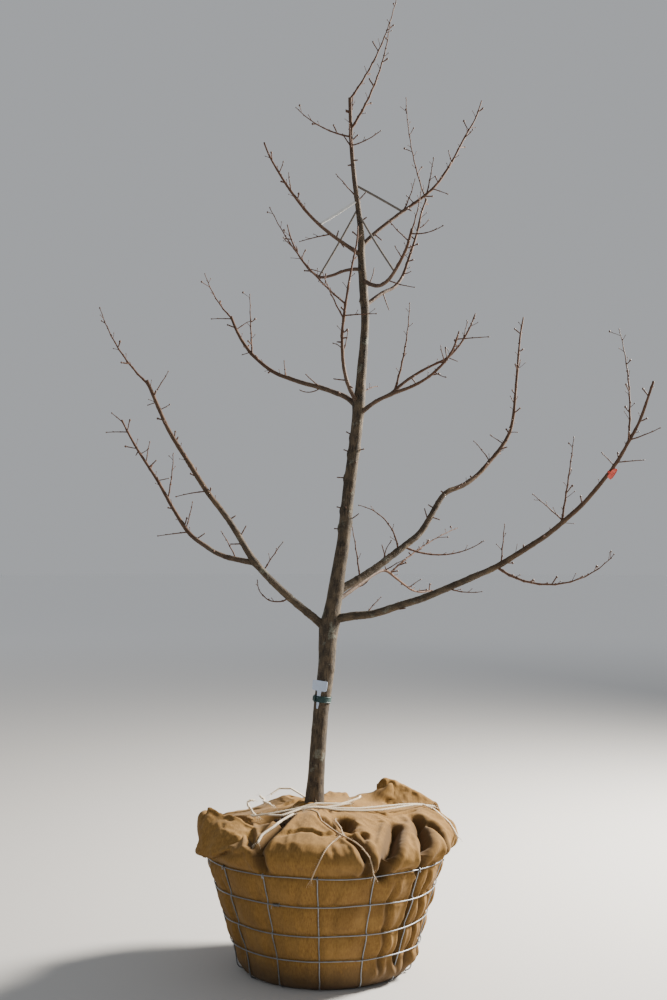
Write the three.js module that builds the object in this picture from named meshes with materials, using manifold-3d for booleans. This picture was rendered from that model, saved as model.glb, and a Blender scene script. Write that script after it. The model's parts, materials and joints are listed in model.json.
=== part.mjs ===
// A young fruit tree with its root ball wrapped in burlap inside a wire basket, as a three.js scene graph.
// Millimetres, +Z up. The origin is the centre of the root ball's flat underside.
// Headings are degrees in plan: 0 is to the right (+X), 90 is away from the viewer (+Y), 180 is to the left.
// A rise is degrees above level, so 90 is straight up.

import * as THREE from 'three';
import { mergeVertices } from 'three/addons/utils/BufferGeometryUtils.js';
import Module from 'manifold-3d';

const wasm = await Module();
wasm.setup();

// Clearance kept between pieces that touch, and how finely centrelines are grown.
const GAP = 0.3;
const STEP = 10;
const BEND = 45;

// The trunk stands in a shallow socket in the root ball's top, on its flat cut.
const TRUNK_FOOT = { x: -41, z: 548 };
const TRUNK_BARE = 2420;
const TRUNK_SIDES = 12;
// [length, rise, heading] of each stretch of the trunk from its foot to its tip.
const TRUNK_STRETCHES = [
  [360, 86, 0], [170, 82.5, 0], [110, 88, 0], [350, 80.5, 0], [190, 84, 20], [185, 82, -20], [130, 84, 0],
  [315, 85.5, 10], [120, 94, 0], [120, 93.5, 0], [85, 90, 0], [205, 97.5, 0], [130, 95, 0], [165, 91.5, 0],
];
// [height, diameter]: flare at the foot, swellings at the tiers, steps down above them.
const TRUNK_GIRTH = [
  [548, 78], [600, 69], [680, 60], [900, 57], [1080, 61], [1200, 68], [1330, 54], [1520, 48], [1780, 44],
  [1960, 42], [2030, 44], [2110, 37], [2300, 30], [2460, 32], [2600, 26], [2790, 19], [2960, 16], [3172, 12],
];

// Each limb: where it leaves its parent (a height on the trunk, or a distance along another limb), its
// heading and how far that swings by its tip, its diameters at root and tip, how much of its length is bare
// bough, its stretches as [length, rise] with a heading where it winds, and its shoots as [distance along the
// limb, heading, rise at root, rise at tip, length].
const LIMBS = [
  {
    name: 'low_left', from: 1208, heading: 192, swing: 8, thick: [30, 12], bare: 600,
    stretches: [[180, 39], [140, 43], [60, 50], [165, 59], [130, 51], [265, 57], [190, 66]],
    shoots: [
      [1112, 192, 42, 72, 318], [190, 200, -38, 88, 165], [325, 20, 58, 52, 125], [680, 186, -4, -16, 108],
      [745, 150, 80, 84, 34], [1015, 20, 28, 32, 36], [1045, 190, -18, -22, 28], [1072, 15, 55, 62, 104],
    ],
  },
  {
    name: 'low_left_fork', parent: 'low_left', from: 365, heading: 170, swing: -8, thick: [20, 7], bare: 250,
    stretches: [[135, 11], [140, 33], [145, 57], [70, 61], [185, 55], [105, 61]],
    shoots: [
      [75, 150, 62, 52, 122], [285, 192, -6, -9, 112], [300, 20, 72, 80, 103], [430, 40, 76, 88, 168],
      [510, 10, 10, 14, 38], [590, 60, 80, 70, 82], [630, 15, 32, 36, 30], [728, 174, 3, -3, 76],
      [772, 180, 36, 42, 50],
    ],
  },
  {
    name: 'low_right', from: 1243, heading: 343, swing: -6, thick: [31, 8], bare: 620,
    stretches: [
      [75, 13], [80, 4], [220, 18], [280, 23], [210, 32], [160, 40], [170, 50], [170, 60], [140, 71],
    ],
    shoots: [
      [650, 352, -38, 50, 450], [668, 20, 84, 84, 138], [925, 350, 80, 83, 300], [935, 172, 44, 40, 138],
      [1194, 165, 46, 50, 63], [1208, 345, 5, 3, 92], [1286, 175, 96, 76, 390], [1296, 330, 14, 24, 113],
      [455, 335, -18, 8, 128], [133, 40, 42, 36, 96],
    ],
  },
  {
    name: 'low_right_rising', from: 1345, heading: 24, swing: 8, thick: [30, 6], bare: 600,
    stretches: [
      [160, 27], [260, 34], [190, 57], [78, 15], [90, 33], [165, 45], [60, 56], [50, 73], [350, 84], [68, 76],
    ],
    shoots: [
      [850, 168, 60, 46, 98], [948, 185, 30, 36, 61], [330, 6, -26, 34, 320], [300, 178, 88, 12, 240],
      [225, 40, 82, 44, 94], [112, 180, 84, 79, 196], [1003, 340, 4, -6, 30], [1120, 120, 40, 60, 40],
      [1255, 300, 50, 70, 36],
    ],
  },
  {
    name: 'low_back', from: 1305, heading: 46, swing: 4, thick: [16, 5], bare: 300,
    stretches: [[255, 25], [45, 17], [130, -28], [80, -26], [60, -5], [60, 6]],
    shoots: [[345, 42, 34, 16, 420], [312, 10, 32, 26, 88], [475, 20, 40, 24, 62]],
  },
  {
    name: 'mid_left', from: 2018, heading: 156, swing: -8, thick: [20, 10], bare: 300,
    stretches: [[50, 46], [130, 21], [75, 15], [140, 20], [125, 38], [105, 53], [75, 66]],
    shoots: [
      [692, 156, 43, 70, 215], [515, 165, 86, 89, 225], [690, 168, 4, 0, 75], [640, 20, 44, 25, 66],
      [338, 140, 86, 84, 62], [528, 186, -20, -16, 27],
    ],
  },
  {
    name: 'mid_upright', from: 2028, heading: 225, swing: 0, thick: [16, 5], bare: 170,
    stretches: [
      [95, 50, 225], [75, 72, 225], [95, 86, 240], [120, 76, 300], [120, 77, 315], [130, 76, 330],
      [30, 88, 330],
    ],
    shoots: [
      [388, 188, 38, 64, 438], [335, 214, 54, 66, 182], [346, 330, 0, -4, 134], [226, 205, 46, 4, 42],
      [212, 20, 66, 84, 76],
    ],
  },
  {
    name: 'mid_right', from: 1995, heading: 328, swing: -8, thick: [17, 6], bare: 230,
    stretches: [[95, 32], [60, 18], [113, 13], [48, 23], [105, 35], [30, 49], [75, 68]],
    shoots: [[500, 345, 3, 1, 108], [355, 310, -34, -14, 57], [408, 250, 30, 60, 70]],
  },
  {
    name: 'mid_right_fork', parent: 'mid_right', from: 150, heading: 8, swing: 6, thick: [12, 5], bare: 120,
    stretches: [[90, 41], [45, 33], [60, 29], [58, 24], [95, 49], [60, 61], [50, 68]],
    shoots: [[25, 350, 72, 88, 320], [262, 330, -30, -20, 40], [345, 60, 50, 74, 90]],
  },
  {
    name: 'high_left_low', from: 2535, heading: 144, swing: -8, thick: [13, 4.5], bare: 235,
    stretches: [[67, 6], [90, -13], [40, 0], [40, 32], [112, 47], [95, 61], [42, 72]],
    shoots: [
      [182, 110, 87, 89, 56], [268, 350, -14, -20, 54], [168, 330, -64, -60, 43], [380, 200, 30, 50, 60],
    ],
  },
  {
    name: 'high_left', from: 2585, heading: 201, swing: 7, thick: [15, 6], bare: 230,
    stretches: [[140, 29], [85, 35], [85, 45], [75, 50], [130, 55], [30, 67]],
    shoots: [
      [140, 194, -12, -20, 122], [258, 150, 60, 50, 58], [352, 260, 40, 66, 74], [430, 330, 60, 72, 44],
    ],
  },
  {
    name: 'high_right', from: 2620, heading: 14, swing: 8, thick: [15, 5], bare: 240,
    stretches: [[62, 46], [155, 39], [60, 35], [105, 40], [110, 56], [140, 62], [65, 57], [78, 71]],
    shoots: [
      [215, 10, 62, 77, 131], [332, 15, 75, 82, 135], [270, 168, 46, 48, 42], [366, 350, -20, -24, 60],
      [500, 100, 40, 60, 66], [612, 330, 30, 44, 42],
    ],
  },
  {
    name: 'high_front', from: 2494, heading: 296, swing: 10, thick: [16, 9], bare: 265,
    stretches: [[80, -24], [60, -13], [48, 12], [90, 36], [77, 48], [50, 67]],
    shoots: [
      [400, 310, 60, 80, 150], [392, 335, -12, 26, 120], [365, 190, 40, 48, 104], [190, 330, -26, -12, 105],
      [300, 240, 20, 40, 60],
    ],
  },
  {
    name: 'high_right_steep', from: 2398, heading: 31, swing: 8, thick: [14, 7], bare: 215,
    stretches: [[105, 37], [50, 23], [42, 46], [210, 68], [100, 76], [42, 62]],
    shoots: [[544, 165, 70, 88, 408], [300, 80, 40, 58, 70], [420, 20, 30, 50, 56], [228, 300, -10, 10, 50]],
  },
];
// Shoots on the trunk: [height, heading, rise at root, rise at tip, length]. The first goes on from its tip.
const TRUNK_SHOOTS = [
  [3168, 5, 54, 78, 440], [3055, 350, 55, 84, 428], [3028, 190, 6, 44, 226], [2995, 345, 10, 36, 124],
  [3100, 80, 44, 70, 130], [2982, 262, 34, 60, 96], [2800, 168, 50, 50, 118], [2065, 52, 38, 8, 118],
];

// Twig sizes, and the rule for the short spurs that the named shoots leave room for.
const SHOOT = { base: 2.6, perLength: 1 / 68, share: 0.62, tip: 1.7, sides: 3, ring: 95 };
const SPUR = {
  gap: 84, jitter: 34, fewestSteps: 2, moreSteps: 3, thick: 3.6, share: 0.8, tip: 2.2, leave: 52,
  upward: 20, longShoot: 190, clearRoot: 30,
};
const FIRST_SEED = 11;
const GOLDEN_TURN = 137.5;
const LIMB_SIDES = 6;
const STEM_SIDES = 4;
const LIMB_RINGS = [70, 90];
const TRUNK_RINGS = [90, 90];
const COLLAR = { swell: 0.32, reach: 26, share: 0.84 };
const TWIG_ROOM = 2.5;
const OWN_NODE_LENGTH = 90;

// The root ball, with its profile as [radius, height] from under its middle, up its side and over its top.
const BALL = { segments: 56, bulge: 14, lobesAbove: 415, shoulderRadius: 427, shoulderHeight: 490 };
const BALL_PROFILE = [
  [0, 0], [282, 0], [300, 9], [313, 36], [335.5, 112], [349, 158], [362.8, 204], [378, 256], [393.5, 308],
  [408.4, 358], [422, 406], [421, 414], [436, 430], [447, 452], [440, 480], [410, 502], [345, 521],
  [262, 541], [170, 561], [84, 574], [0, 580],
];
// Rolls and hollows of the gathered burlap: [heading, spread, distance from the middle over the surface,
// spread of that, push outwards, lift].
const LOBES = [
  [2, 11, 482, 66, 40, 0], [336, 9, 482, 66, 27, 4], [310, 9, 486, 66, 25, 4], [288, 8, 482, 76, 24, 6],
  [256, 26, 400, 130, 13, 20], [254, 21, 230, 105, 0, 32], [224, 9, 492, 46, 16, 0],
  [188, 13, 430, 52, 20, 70], [192, 15, 508, 34, 20, 0], [127, 16, 250, 90, 0, 30],
  [85, 20, 372, 90, 4, 44], [48, 9, 362, 60, 10, 84], [12, 24, 385, 84, 6, 40],
  [197, 13, 215, 66, 0, -36], [104, 9, 474, 70, 20, 5], [150, 11, 470, 80, 22, 12],
];

// The wire basket round it: rings as [radius of the uprights, height], and uprights that run down from the
// top ring and turn in under the ball's edge. A weld is how far off the upright a ring lies, in wire radii.
const WIRE = { radius: 2.3, uprights: 14, firstHeading: 267, sides: 4, weld: 1.6, metalness: 0.8 };
const RINGS = [[427, 409], [397, 308], [366, 204], [339, 112]];
const UPRIGHT_PROFILE = [[427.7, 411.5], [324, 62], [318, 22], [301, 5]];

// Baling twine over the ball's top: each piece as the runs that it makes in plan. Where it has several, they
// meet in a knot at the start of the second.
const TWINE = { radius: 3.2, sides: 5, bite: 1.2, step: 38, knot: 8.5 };
const TWINES = {
  twine_over: [[[-258, -40], [-110, -42], [-30, -62], [60, 18], [128, 92]]],
  twine_right: [[[-86, -92], [10, -98], [170, 12], [350, 104], [408, 112]]],
  twine_front: [
    [[-52, -150], [28, -318], [72, -362], [118, -386], [150, -398]],
    [[72, -362], [36, -402], [12, -430]],
  ],
  twine_left: [[[-128, -152], [-176, -214], [-222, -306], [-206, -380]]],
};

// Thin laths that spread the high boughs: [name, height on the trunk, limb, distance along it, width].
const LATH_THICK = 5;
const LATHS = [
  ['spreader_high_left', 2790, 'high_left', 196, 12],
  ['spreader_high_right', 2848, 'high_right', 212, 8],
  ['spreader_high_left_low', 2762, 'high_left_low', 205, 7],
  ['spreader_high_front', 2738, 'high_front', 238, 7],
];

// The label: a flat T whose foot is held to the trunk by a strap, and the marking tape on a low limb.
const LABEL = { height: 1006, aside: -9, headWide: 58, headTall: 37, footWide: 14, long: 102, thick: 1.2 };
const STRAP = { height: 958, tall: 22, thick: 4.6 };
const TAPE = {
  limb: 'low_right', at: 1166, wide: 20, sides: 8, thick: 1.8, knot: 6, tail: 36, tailWide: 14, splay: 12,
};

const COLOURS = {
  bark: [0x4a3d31, 0.85], bough: [0x54402f, 0.8], twig: [0x5c4030, 0.8], burlap: [0x9a7442, 0.95],
  wire: [0x8d9196, 0.4], twine: [0xd9cba6, 0.9], label: [0xe9ebee, 0.45], strap: [0x1d4a4a, 0.5],
  tape: [0xe8481c, 0.5], lath: [0xd8d4c8, 0.7],
};

const radians = (degrees) => (degrees * Math.PI) / 180;

/** A unit vector with this heading and rise. */
function direction(heading, rise) {
  const level = Math.cos(radians(rise));
  const away = radians(heading);
  return new THREE.Vector3(level * Math.cos(away), level * Math.sin(away), Math.sin(radians(rise)));
}

/** Seeded random numbers from 0 to 1, the same in any language with whole numbers up to 2^46. */
function seeded(seed) {
  let state = seed;
  return () => {
    state = (state * 16807) % 2147483647;
    return state / 2147483647;
  };
}

/** The value at x on straight lines through [x, y] pairs. */
function between(pairs, x) {
  const last = pairs.length - 1;
  if (x <= pairs[0][0]) return pairs[0][1];
  for (let i = 0; i < last; i += 1) {
    const [x0, y0] = pairs[i];
    const [x1, y1] = pairs[i + 1];
    if (x <= x1) return y0 + ((y1 - y0) * (x - x0)) / (x1 - x0);
  }
  return pairs[last][1];
}

/** A grown centreline: points a fixed step apart, with the place at any distance along it. */
class Path {
  constructor(points) {
    this.points = points;
    this.length = (points.length - 1) * STEP;
  }

  at(distance) {
    const i = Math.min(Math.max(Math.floor(distance / STEP), 0), this.points.length - 2);
    return this.points[i].clone().lerp(this.points[i + 1], distance / STEP - i);
  }

  directionAt(distance) {
    return this.at(distance + STEP).sub(this.at(distance - STEP)).normalize();
  }

  distanceAtHeight(height) {
    const i = this.points.findIndex((point) => point.z >= height);
    const below = this.points[i - 1];
    return (i - 1 + (height - below.z) / (this.points[i].z - below.z)) * STEP;
  }
}

/** Turns stretches into [distance, value] pairs that hold each value and bend from one to the next. */
function eased(stretches, column) {
  const pairs = [];
  let start = 0;
  for (const stretch of stretches) {
    const soft = Math.min(BEND, stretch[0] / 2 - 1);
    pairs.push([start + soft, stretch[column]], [start + stretch[0] - soft, stretch[column]]);
    start += stretch[0];
  }
  return pairs;
}

/** Steps a centreline forward from its root, with the heading and the rise given at each distance. */
function grow(root, length, headingAt, riseAt) {
  const points = [root.clone()];
  const steps = Math.max(2, Math.round(length / STEP));
  for (let i = 0; i < steps; i += 1) {
    const middle = (i + 0.5) * STEP;
    const forward = direction(headingAt(middle), riseAt(middle)).multiplyScalar(STEP);
    points.push(points[i].clone().add(forward));
  }
  return new Path(points);
}

const totalLength = (stretches) => stretches.reduce((sum, stretch) => sum + stretch[0], 0);

/** Stops along a centreline, evenly spaced at about the given distance. */
function evenly(from, to, spacing) {
  const count = Math.max(1, Math.round((to - from) / spacing));
  return Array.from({ length: count + 1 }, (_, i) => from + ((to - from) * i) / count);
}

/** The centreline run straight from stop to stop, as a tube with rings there has it, so that twigs meet it. */
function straightened(path, stops) {
  const points = path.points.map((_, i) => {
    const at = i * STEP;
    const next = Math.max(1, stops.findIndex((stop) => stop >= at));
    const [before, after] = [stops[next - 1], stops[next]];
    return path.at(before).lerp(path.at(after), (at - before) / (after - before));
  });
  return new Path(points);
}

/** A limb or trunk as a centreline with the stops where its tube has rings, one spacing for its bare part. */
function growStem(root, stretches, bare, rings, headingAt) {
  const rises = eased(stretches, 1);
  const grown = grow(root, totalLength(stretches), headingAt, (at) => between(rises, at));
  const stops = evenly(0, bare, rings[0]).concat(evenly(bare, grown.length, rings[1]).slice(1));
  return { path: straightened(grown, stops), stops };
}

/** A limb's heading at each distance: its own list where it has one, or an even swing. */
function limbHeading(limb) {
  if (limb.stretches[0].length > 2) {
    const headings = eased(limb.stretches, 2);
    return (at) => between(headings, at);
  }
  return (at) => limb.heading + (limb.swing * at) / totalLength(limb.stretches);
}

/** A limb's diameter along it: an even taper, and a collar at its root that stays within its parent. */
function limbDiameter(limb, length, distance, parentDiameter) {
  const taper = limb.thick[0] + ((limb.thick[1] - limb.thick[0]) * distance) / length;
  const swollen = taper * (1 + COLLAR.swell * Math.exp(-distance / COLLAR.reach));
  return Math.min(swollen, COLLAR.share * parentDiameter);
}

/**
 * A closed tube with a taper: a cylinder whose rings are moved onto a centreline at the given stops. It can
 * be grown all round and at both ends.
 */
function sweep(path, stops, sides, diameterAt, grown = 0) {
  const rings = stops.length - 1;
  const geometry = new THREE.CylinderGeometry(1, 1, 1, sides, rings);
  const frames = ringFrames(path, stops);
  frames[0].centre.addScaledVector(path.directionAt(stops[0]), -grown);
  frames[rings].centre.addScaledVector(path.directionAt(stops[rings]), grown);
  const position = geometry.attributes.position;
  for (let i = 0; i < position.count; i += 1) {
    const frame = frames[Math.round((position.getY(i) + 0.5) * rings)];
    const radius = diameterAt(frame.distance) / 2 + grown;
    const place = frame.centre.clone();
    place.addScaledVector(frame.normal, position.getX(i) * radius);
    place.addScaledVector(frame.binormal, position.getZ(i) * radius);
    position.setXYZ(i, place.x, place.y, place.z);
  }
  return solid(geometry);
}

/** Frames along a centreline that turn as little as they can from one stop to the next. */
function ringFrames(path, stops) {
  let normal = new THREE.Vector3(1, 0, 0);
  if (Math.abs(path.directionAt(stops[0]).x) > 0.9) normal = new THREE.Vector3(0, 1, 0);
  return stops.map((distance) => {
    const tangent = path.directionAt(distance);
    normal = normal.clone().addScaledVector(tangent, -normal.dot(tangent)).normalize();
    return { distance, centre: path.at(distance), normal, binormal: normal.clone().cross(tangent) };
  });
}

/** A closed geometry as a solid that can be joined and cut. */
function solid(geometry) {
  geometry.deleteAttribute('normal');
  geometry.deleteAttribute('uv');
  const merged = mergeVertices(geometry, 1e-4);
  const vertProperties = new Float32Array(merged.attributes.position.array);
  const triVerts = new Uint32Array(merged.index.array);
  return new wasm.Manifold(new wasm.Mesh({ numProp: 3, vertProperties, triVerts }));
}

const join = (solids) => solids.reduce((whole, piece) => whole.add(piece));

/** A solid's triangles as a geometry. */
function toGeometry(piece) {
  const { vertProperties, triVerts } = piece.getMesh();
  const geometry = new THREE.BufferGeometry();
  geometry.setAttribute('position', new THREE.BufferAttribute(new Float32Array(vertProperties), 3));
  geometry.setIndex(new THREE.BufferAttribute(new Uint32Array(triVerts), 1));
  geometry.computeVertexNormals();
  return geometry;
}

const model = new THREE.Group();

/** Adds a solid to the model as a named mesh with its own material. */
function addPiece(name, piece, [color, roughness], metalness = 0) {
  const material = new THREE.MeshStandardMaterial({ color, roughness, metalness });
  const mesh = new THREE.Mesh(toGeometry(piece), material);
  mesh.name = name;
  model.add(mesh);
}

// Every stick grown so far, as places with a radius, so that a later one can keep clear of it.
const sticks = [];

function claim(path, from, to, radiusAt) {
  for (let at = from; at <= to; at += STEP) {
    sticks.push({ place: path.at(at), radius: radiusAt(at) });
  }
}

/** Whether a new twig keeps clear of every stick, apart from its first stretch on the one that carries it. */
function isClear(path, radius, rootRoom) {
  for (let at = rootRoom; at <= path.length; at += STEP / 2) {
    const place = path.at(at);
    for (const stick of sticks) {
      if (place.distanceTo(stick.place) < radius + stick.radius + TWIG_ROOM) return false;
    }
  }
  return true;
}

/** A shoot's centreline and diameters, from where it leaves its limb. */
function growShoot(carrier, carrierDiameter, [at, heading, rootRise, tipRise, length], ring) {
  const riseAt = (distance) => rootRise + ((tipRise - rootRise) * distance) / length;
  const grown = grow(carrier.at(at), length, () => heading, riseAt);
  const stops = evenly(0, grown.length, ring);
  const base = Math.min(SHOOT.base + length * SHOOT.perLength, SHOOT.share * carrierDiameter);
  const diameterAt = (distance) => base + ((SHOOT.tip - base) * distance) / grown.length;
  return { path: straightened(grown, stops), stops, at, diameterAt };
}

/** Short spurs along a stem by the seeded rule: a golden turn round it from one to the next. */
function growSpurs(carrier, random) {
  const spurs = [];
  const leave = radians(SPUR.leave);
  let turn = 360 * random();
  let at = carrier.from + SPUR.gap * random();
  while (at < carrier.path.length - STEP) {
    const steps = SPUR.fewestSteps + Math.floor(SPUR.moreSteps * random());
    const along = carrier.path.directionAt(at);
    const side = direction(turn, SPUR.upward);
    side.addScaledVector(along, -side.dot(along)).normalize();
    const forward = along.multiplyScalar(Math.cos(leave)).addScaledVector(side, Math.sin(leave));
    const root = carrier.path.at(at);
    const points = evenly(0, steps, 1).map((i) => root.clone().addScaledVector(forward, i * STEP));
    const base = Math.min(SPUR.thick, SPUR.share * carrier.diameterAt(at));
    const rootRoom = STEP / 2 + (carrier.diameterAt(at) / 2 + base / 2 + TWIG_ROOM) / Math.sin(leave);
    spurs.push({ path: new Path(points), base, rootRoom });
    turn += GOLDEN_TURN;
    at += SPUR.gap + SPUR.jitter * (random() - 0.5);
  }
  return spurs;
}

/** One spur as a solid: a straight three-sided taper. */
function spurSolid({ path, base }) {
  return sweep(path, [0, path.length], SHOOT.sides, (at) => base + ((SPUR.tip - base) * at) / path.length);
}

/** The trunk as a limb of its own. */
function plantTrunk() {
  const root = new THREE.Vector3(TRUNK_FOOT.x, 0, TRUNK_FOOT.z);
  const headings = eased(TRUNK_STRETCHES, 2);
  const headingAt = (at) => between(headings, at);
  const stem = growStem(root, TRUNK_STRETCHES, TRUNK_BARE, TRUNK_RINGS, headingAt);
  const diameterAt = (distance) => between(TRUNK_GIRTH, stem.path.at(distance).z);
  return { ...stem, bare: TRUNK_BARE, sides: TRUNK_SIDES, diameterAt };
}

const trunk = plantTrunk();
const limbs = new Map();

/** Every limb's centreline, in the order of the list, so that a fork finds its parent. */
function plantLimbs() {
  for (const limb of LIMBS) {
    const parent = limb.parent ? limbs.get(limb.parent) : trunk;
    const from = limb.parent ? limb.from : trunk.path.distanceAtHeight(limb.from);
    const stem = growStem(parent.path.at(from), limb.stretches, limb.bare, LIMB_RINGS, limbHeading(limb));
    const parentDiameter = parent.diameterAt(from);
    const diameterAt = (distance) => limbDiameter(limb, stem.path.length, distance, parentDiameter);
    limbs.set(limb.name, { ...limb, ...stem, sides: LIMB_SIDES, diameterAt, carrier: parent });
  }
}

/** A limb's bare part, and its whole outline grown by the clearance, to be cut out of what stands on it. */
function bareSolid({ path, stops, bare, sides, diameterAt }) {
  return sweep(path, stops.filter((at) => at <= bare), sides, diameterAt);
}

const grownSolid = (limb) => sweep(limb.path, limb.stops, limb.sides, limb.diameterAt, GAP);

/** The stem of a limb's mass, which goes on where the bough ends. */
function massStem({ path, stops, bare, diameterAt }, grown) {
  return sweep(path, [bare + GAP, ...stops.filter((at) => at > bare)], STEM_SIDES, diameterAt, grown);
}

plantLimbs();
const trunkGrown = grownSolid(trunk);

function buildTrunk() {
  addPiece('trunk', bareSolid(trunk), COLOURS.bark);
  claim(trunk.path, 0, trunk.path.length, (at) => trunk.diameterAt(at) / 2);
}

function buildBoughs() {
  for (const limb of limbs.values()) {
    addPiece(`bough_${limb.name}`, bareSolid(limb).subtract(grownSolid(limb.carrier)), COLOURS.bough);
    claim(limb.path, 0, limb.path.length, (at) => limb.diameterAt(at) / 2);
  }
}

/** A mass of bare twigs: the stem that goes on from its bough, its shoots and the spurs on them. */
function buildMass(name, limb, shootRows, seed) {
  const { path, bare, diameterAt } = limb;
  const random = seeded(seed);
  const pieces = [massStem(limb, 0)];
  const shoots = shootRows.map((row) => growShoot(path, diameterAt(row[0]), row, SHOOT.ring));
  for (const shoot of shoots) {
    pieces.push(sweep(shoot.path, shoot.stops, SHOOT.sides, shoot.diameterAt));
    claim(shoot.path, diameterAt(shoot.at), shoot.path.length, (at) => shoot.diameterAt(at) / 2);
  }
  const carriers = [{ path, from: bare + SPUR.clearRoot, diameterAt }];
  for (const shoot of shoots.filter((one) => one.path.length > SPUR.longShoot)) {
    carriers.push({ path: shoot.path, from: SPUR.clearRoot, diameterAt: shoot.diameterAt });
  }
  for (const carrier of carriers) {
    for (const spur of growSpurs(carrier, random)) {
      if (!isClear(spur.path, spur.base / 2, spur.rootRoom)) continue;
      pieces.push(spurSolid(spur));
      claim(spur.path, STEP, spur.path.length, () => spur.base / 2);
    }
  }
  addPiece(name, join(pieces), COLOURS.twig);
}

/** A twig that stands alone on a bare bough or the trunk, cut clear of it. */
function buildLoneTwig(name, limb, row) {
  const diameter = limb.diameterAt(row[0]);
  const shoot = growShoot(limb.path, diameter, row, SHOOT.ring / 2);
  const twig = sweep(shoot.path, shoot.stops, STEM_SIDES, shoot.diameterAt);
  addPiece(name, twig.subtract(grownSolid(limb)), COLOURS.twig);
  claim(shoot.path, diameter, shoot.path.length, (at) => shoot.diameterAt(at) / 2);
}

/** A limb's twigs: those on its bare part each alone, the rest in its mass. */
function buildLimbTwigs(label, limb, rows, seed) {
  const lone = rows.filter((row) => row[0] < limb.bare && row[4] >= OWN_NODE_LENGTH);
  lone.forEach((row, i) => buildLoneTwig(`twig_${label}_${i + 1}`, limb, row));
  buildMass(`twigs_${label}`, limb, rows.filter((row) => row[0] >= limb.bare), seed);
}

function buildTwigs() {
  let seed = FIRST_SEED;
  for (const limb of limbs.values()) {
    buildLimbTwigs(limb.name, limb, limb.shoots, seed);
    seed += 7;
  }
  const rows = TRUNK_SHOOTS.map(([height, ...rest]) => [trunk.path.distanceAtHeight(height), ...rest]);
  buildLimbTwigs('leader', trunk, rows, seed);
}

/** About how far over the surface a profile point lies from the ball's top middle, round its shoulder. */
function overSurface(radius, height) {
  const { shoulderRadius, shoulderHeight } = BALL;
  return height > shoulderHeight ? radius : shoulderRadius + shoulderHeight - height;
}

/** How far the burlap bellies out between the wires at a height and heading. */
function pocket(height, heading) {
  const zone = RINGS.findIndex(([, ringHeight]) => height >= ringHeight);
  if (zone < 1) return 0;
  const [top, foot] = [RINGS[zone - 1][1], RINGS[zone][1]];
  const bay = Math.abs(Math.sin((radians(heading - WIRE.firstHeading) * WIRE.uprights) / 2));
  return BALL.bulge * Math.sin((Math.PI * (height - foot)) / (top - foot)) * bay;
}

/** A point of the ball's outline, moved by the pockets and by the rolls gathered over its top. */
function ballPoint(radius, height, heading) {
  let out = pocket(height, heading);
  let up = 0;
  if (height > BALL.lobesAbove) {
    const over = overSurface(radius, height);
    for (const [lobeHeading, spread, lobeOver, overSpread, push, lift] of LOBES) {
      const turn = ((heading - lobeHeading + 540) % 360) - 180;
      const weight = Math.exp(-((turn / spread) ** 2) - ((over - lobeOver) / overSpread) ** 2);
      out += push * weight;
      up += lift * weight;
    }
  }
  const away = radians(heading);
  return [(radius + out) * Math.cos(away), (radius + out) * Math.sin(away), height + up];
}

/** The wrapped ball before anything is cut out of it: a turned profile with its points moved. */
function ballSolid() {
  const profile = BALL_PROFILE.map(([radius, height]) => new THREE.Vector2(radius, height));
  const geometry = new THREE.LatheGeometry(profile, BALL.segments);
  const position = geometry.attributes.position;
  for (let i = 0; i < position.count; i += 1) {
    const [radius, height] = BALL_PROFILE[i % profile.length];
    const turn = Math.floor(i / profile.length) % BALL.segments;
    const heading = WIRE.firstHeading + (360 * turn) / BALL.segments;
    const place = radius > 0 ? ballPoint(radius, height, heading) : [0, 0, height];
    position.setXYZ(i, ...place);
  }
  return solid(geometry);
}

/** A run through given points as a path of fixed steps. */
function runThrough(points) {
  const curve = new THREE.CatmullRomCurve3(points, false, 'centripetal');
  return new Path(curve.getSpacedPoints(Math.round(curve.getLength() / STEP)));
}

/** The welded basket: each ring lies on the outside of the uprights, pressed a little into them. */
function basketSolid() {
  const halfSegment = Math.PI / (2 * WIRE.uprights);
  const wires = RINGS.map(([radius, height]) => {
    const ringRadius = (radius + WIRE.weld * WIRE.radius) / Math.cos(halfSegment);
    const ring = new THREE.TorusGeometry(ringRadius, WIRE.radius, WIRE.sides, WIRE.uprights * 2);
    ring.rotateZ(radians(WIRE.firstHeading) + halfSegment).translate(0, 0, height);
    return solid(ring);
  });
  for (let i = 0; i < WIRE.uprights; i += 1) wires.push(uprightSolid(i * 4 * halfSegment));
  return join(wires);
}

/** One upright: a cylinder bent onto the profile, then turned to its place. */
function uprightSolid(turn) {
  const corners = UPRIGHT_PROFILE.map(([radius, height]) => new THREE.Vector3(radius, 0, height));
  const geometry = new THREE.CylinderGeometry(1, 1, 1, WIRE.sides, corners.length - 1);
  const sideways = new THREE.Vector3(0, 1, 0);
  const position = geometry.attributes.position;
  for (let i = 0; i < position.count; i += 1) {
    const at = corners.length - 1 - Math.round((position.getY(i) + 0.5) * (corners.length - 1));
    const before = corners[Math.min(at + 1, corners.length - 1)];
    const after = corners[Math.max(at - 1, 0)];
    const outward = sideways.clone().cross(after.clone().sub(before).normalize());
    const place = corners[at].clone().addScaledVector(outward, position.getX(i) * WIRE.radius);
    place.addScaledVector(sideways, -position.getZ(i) * WIRE.radius);
    position.setXYZ(i, place.x, place.y, place.z);
  }
  return solid(geometry.rotateZ(radians(WIRE.firstHeading) + turn));
}

/** The ball's surface straight below a place in plan. */
function surfaceBelow(ballMesh, x, y) {
  const above = new THREE.Vector3(x, y, 2 * TRUNK_FOOT.z);
  return new THREE.Raycaster(above, new THREE.Vector3(0, 0, -1)).intersectObject(ballMesh)[0].point;
}

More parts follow.
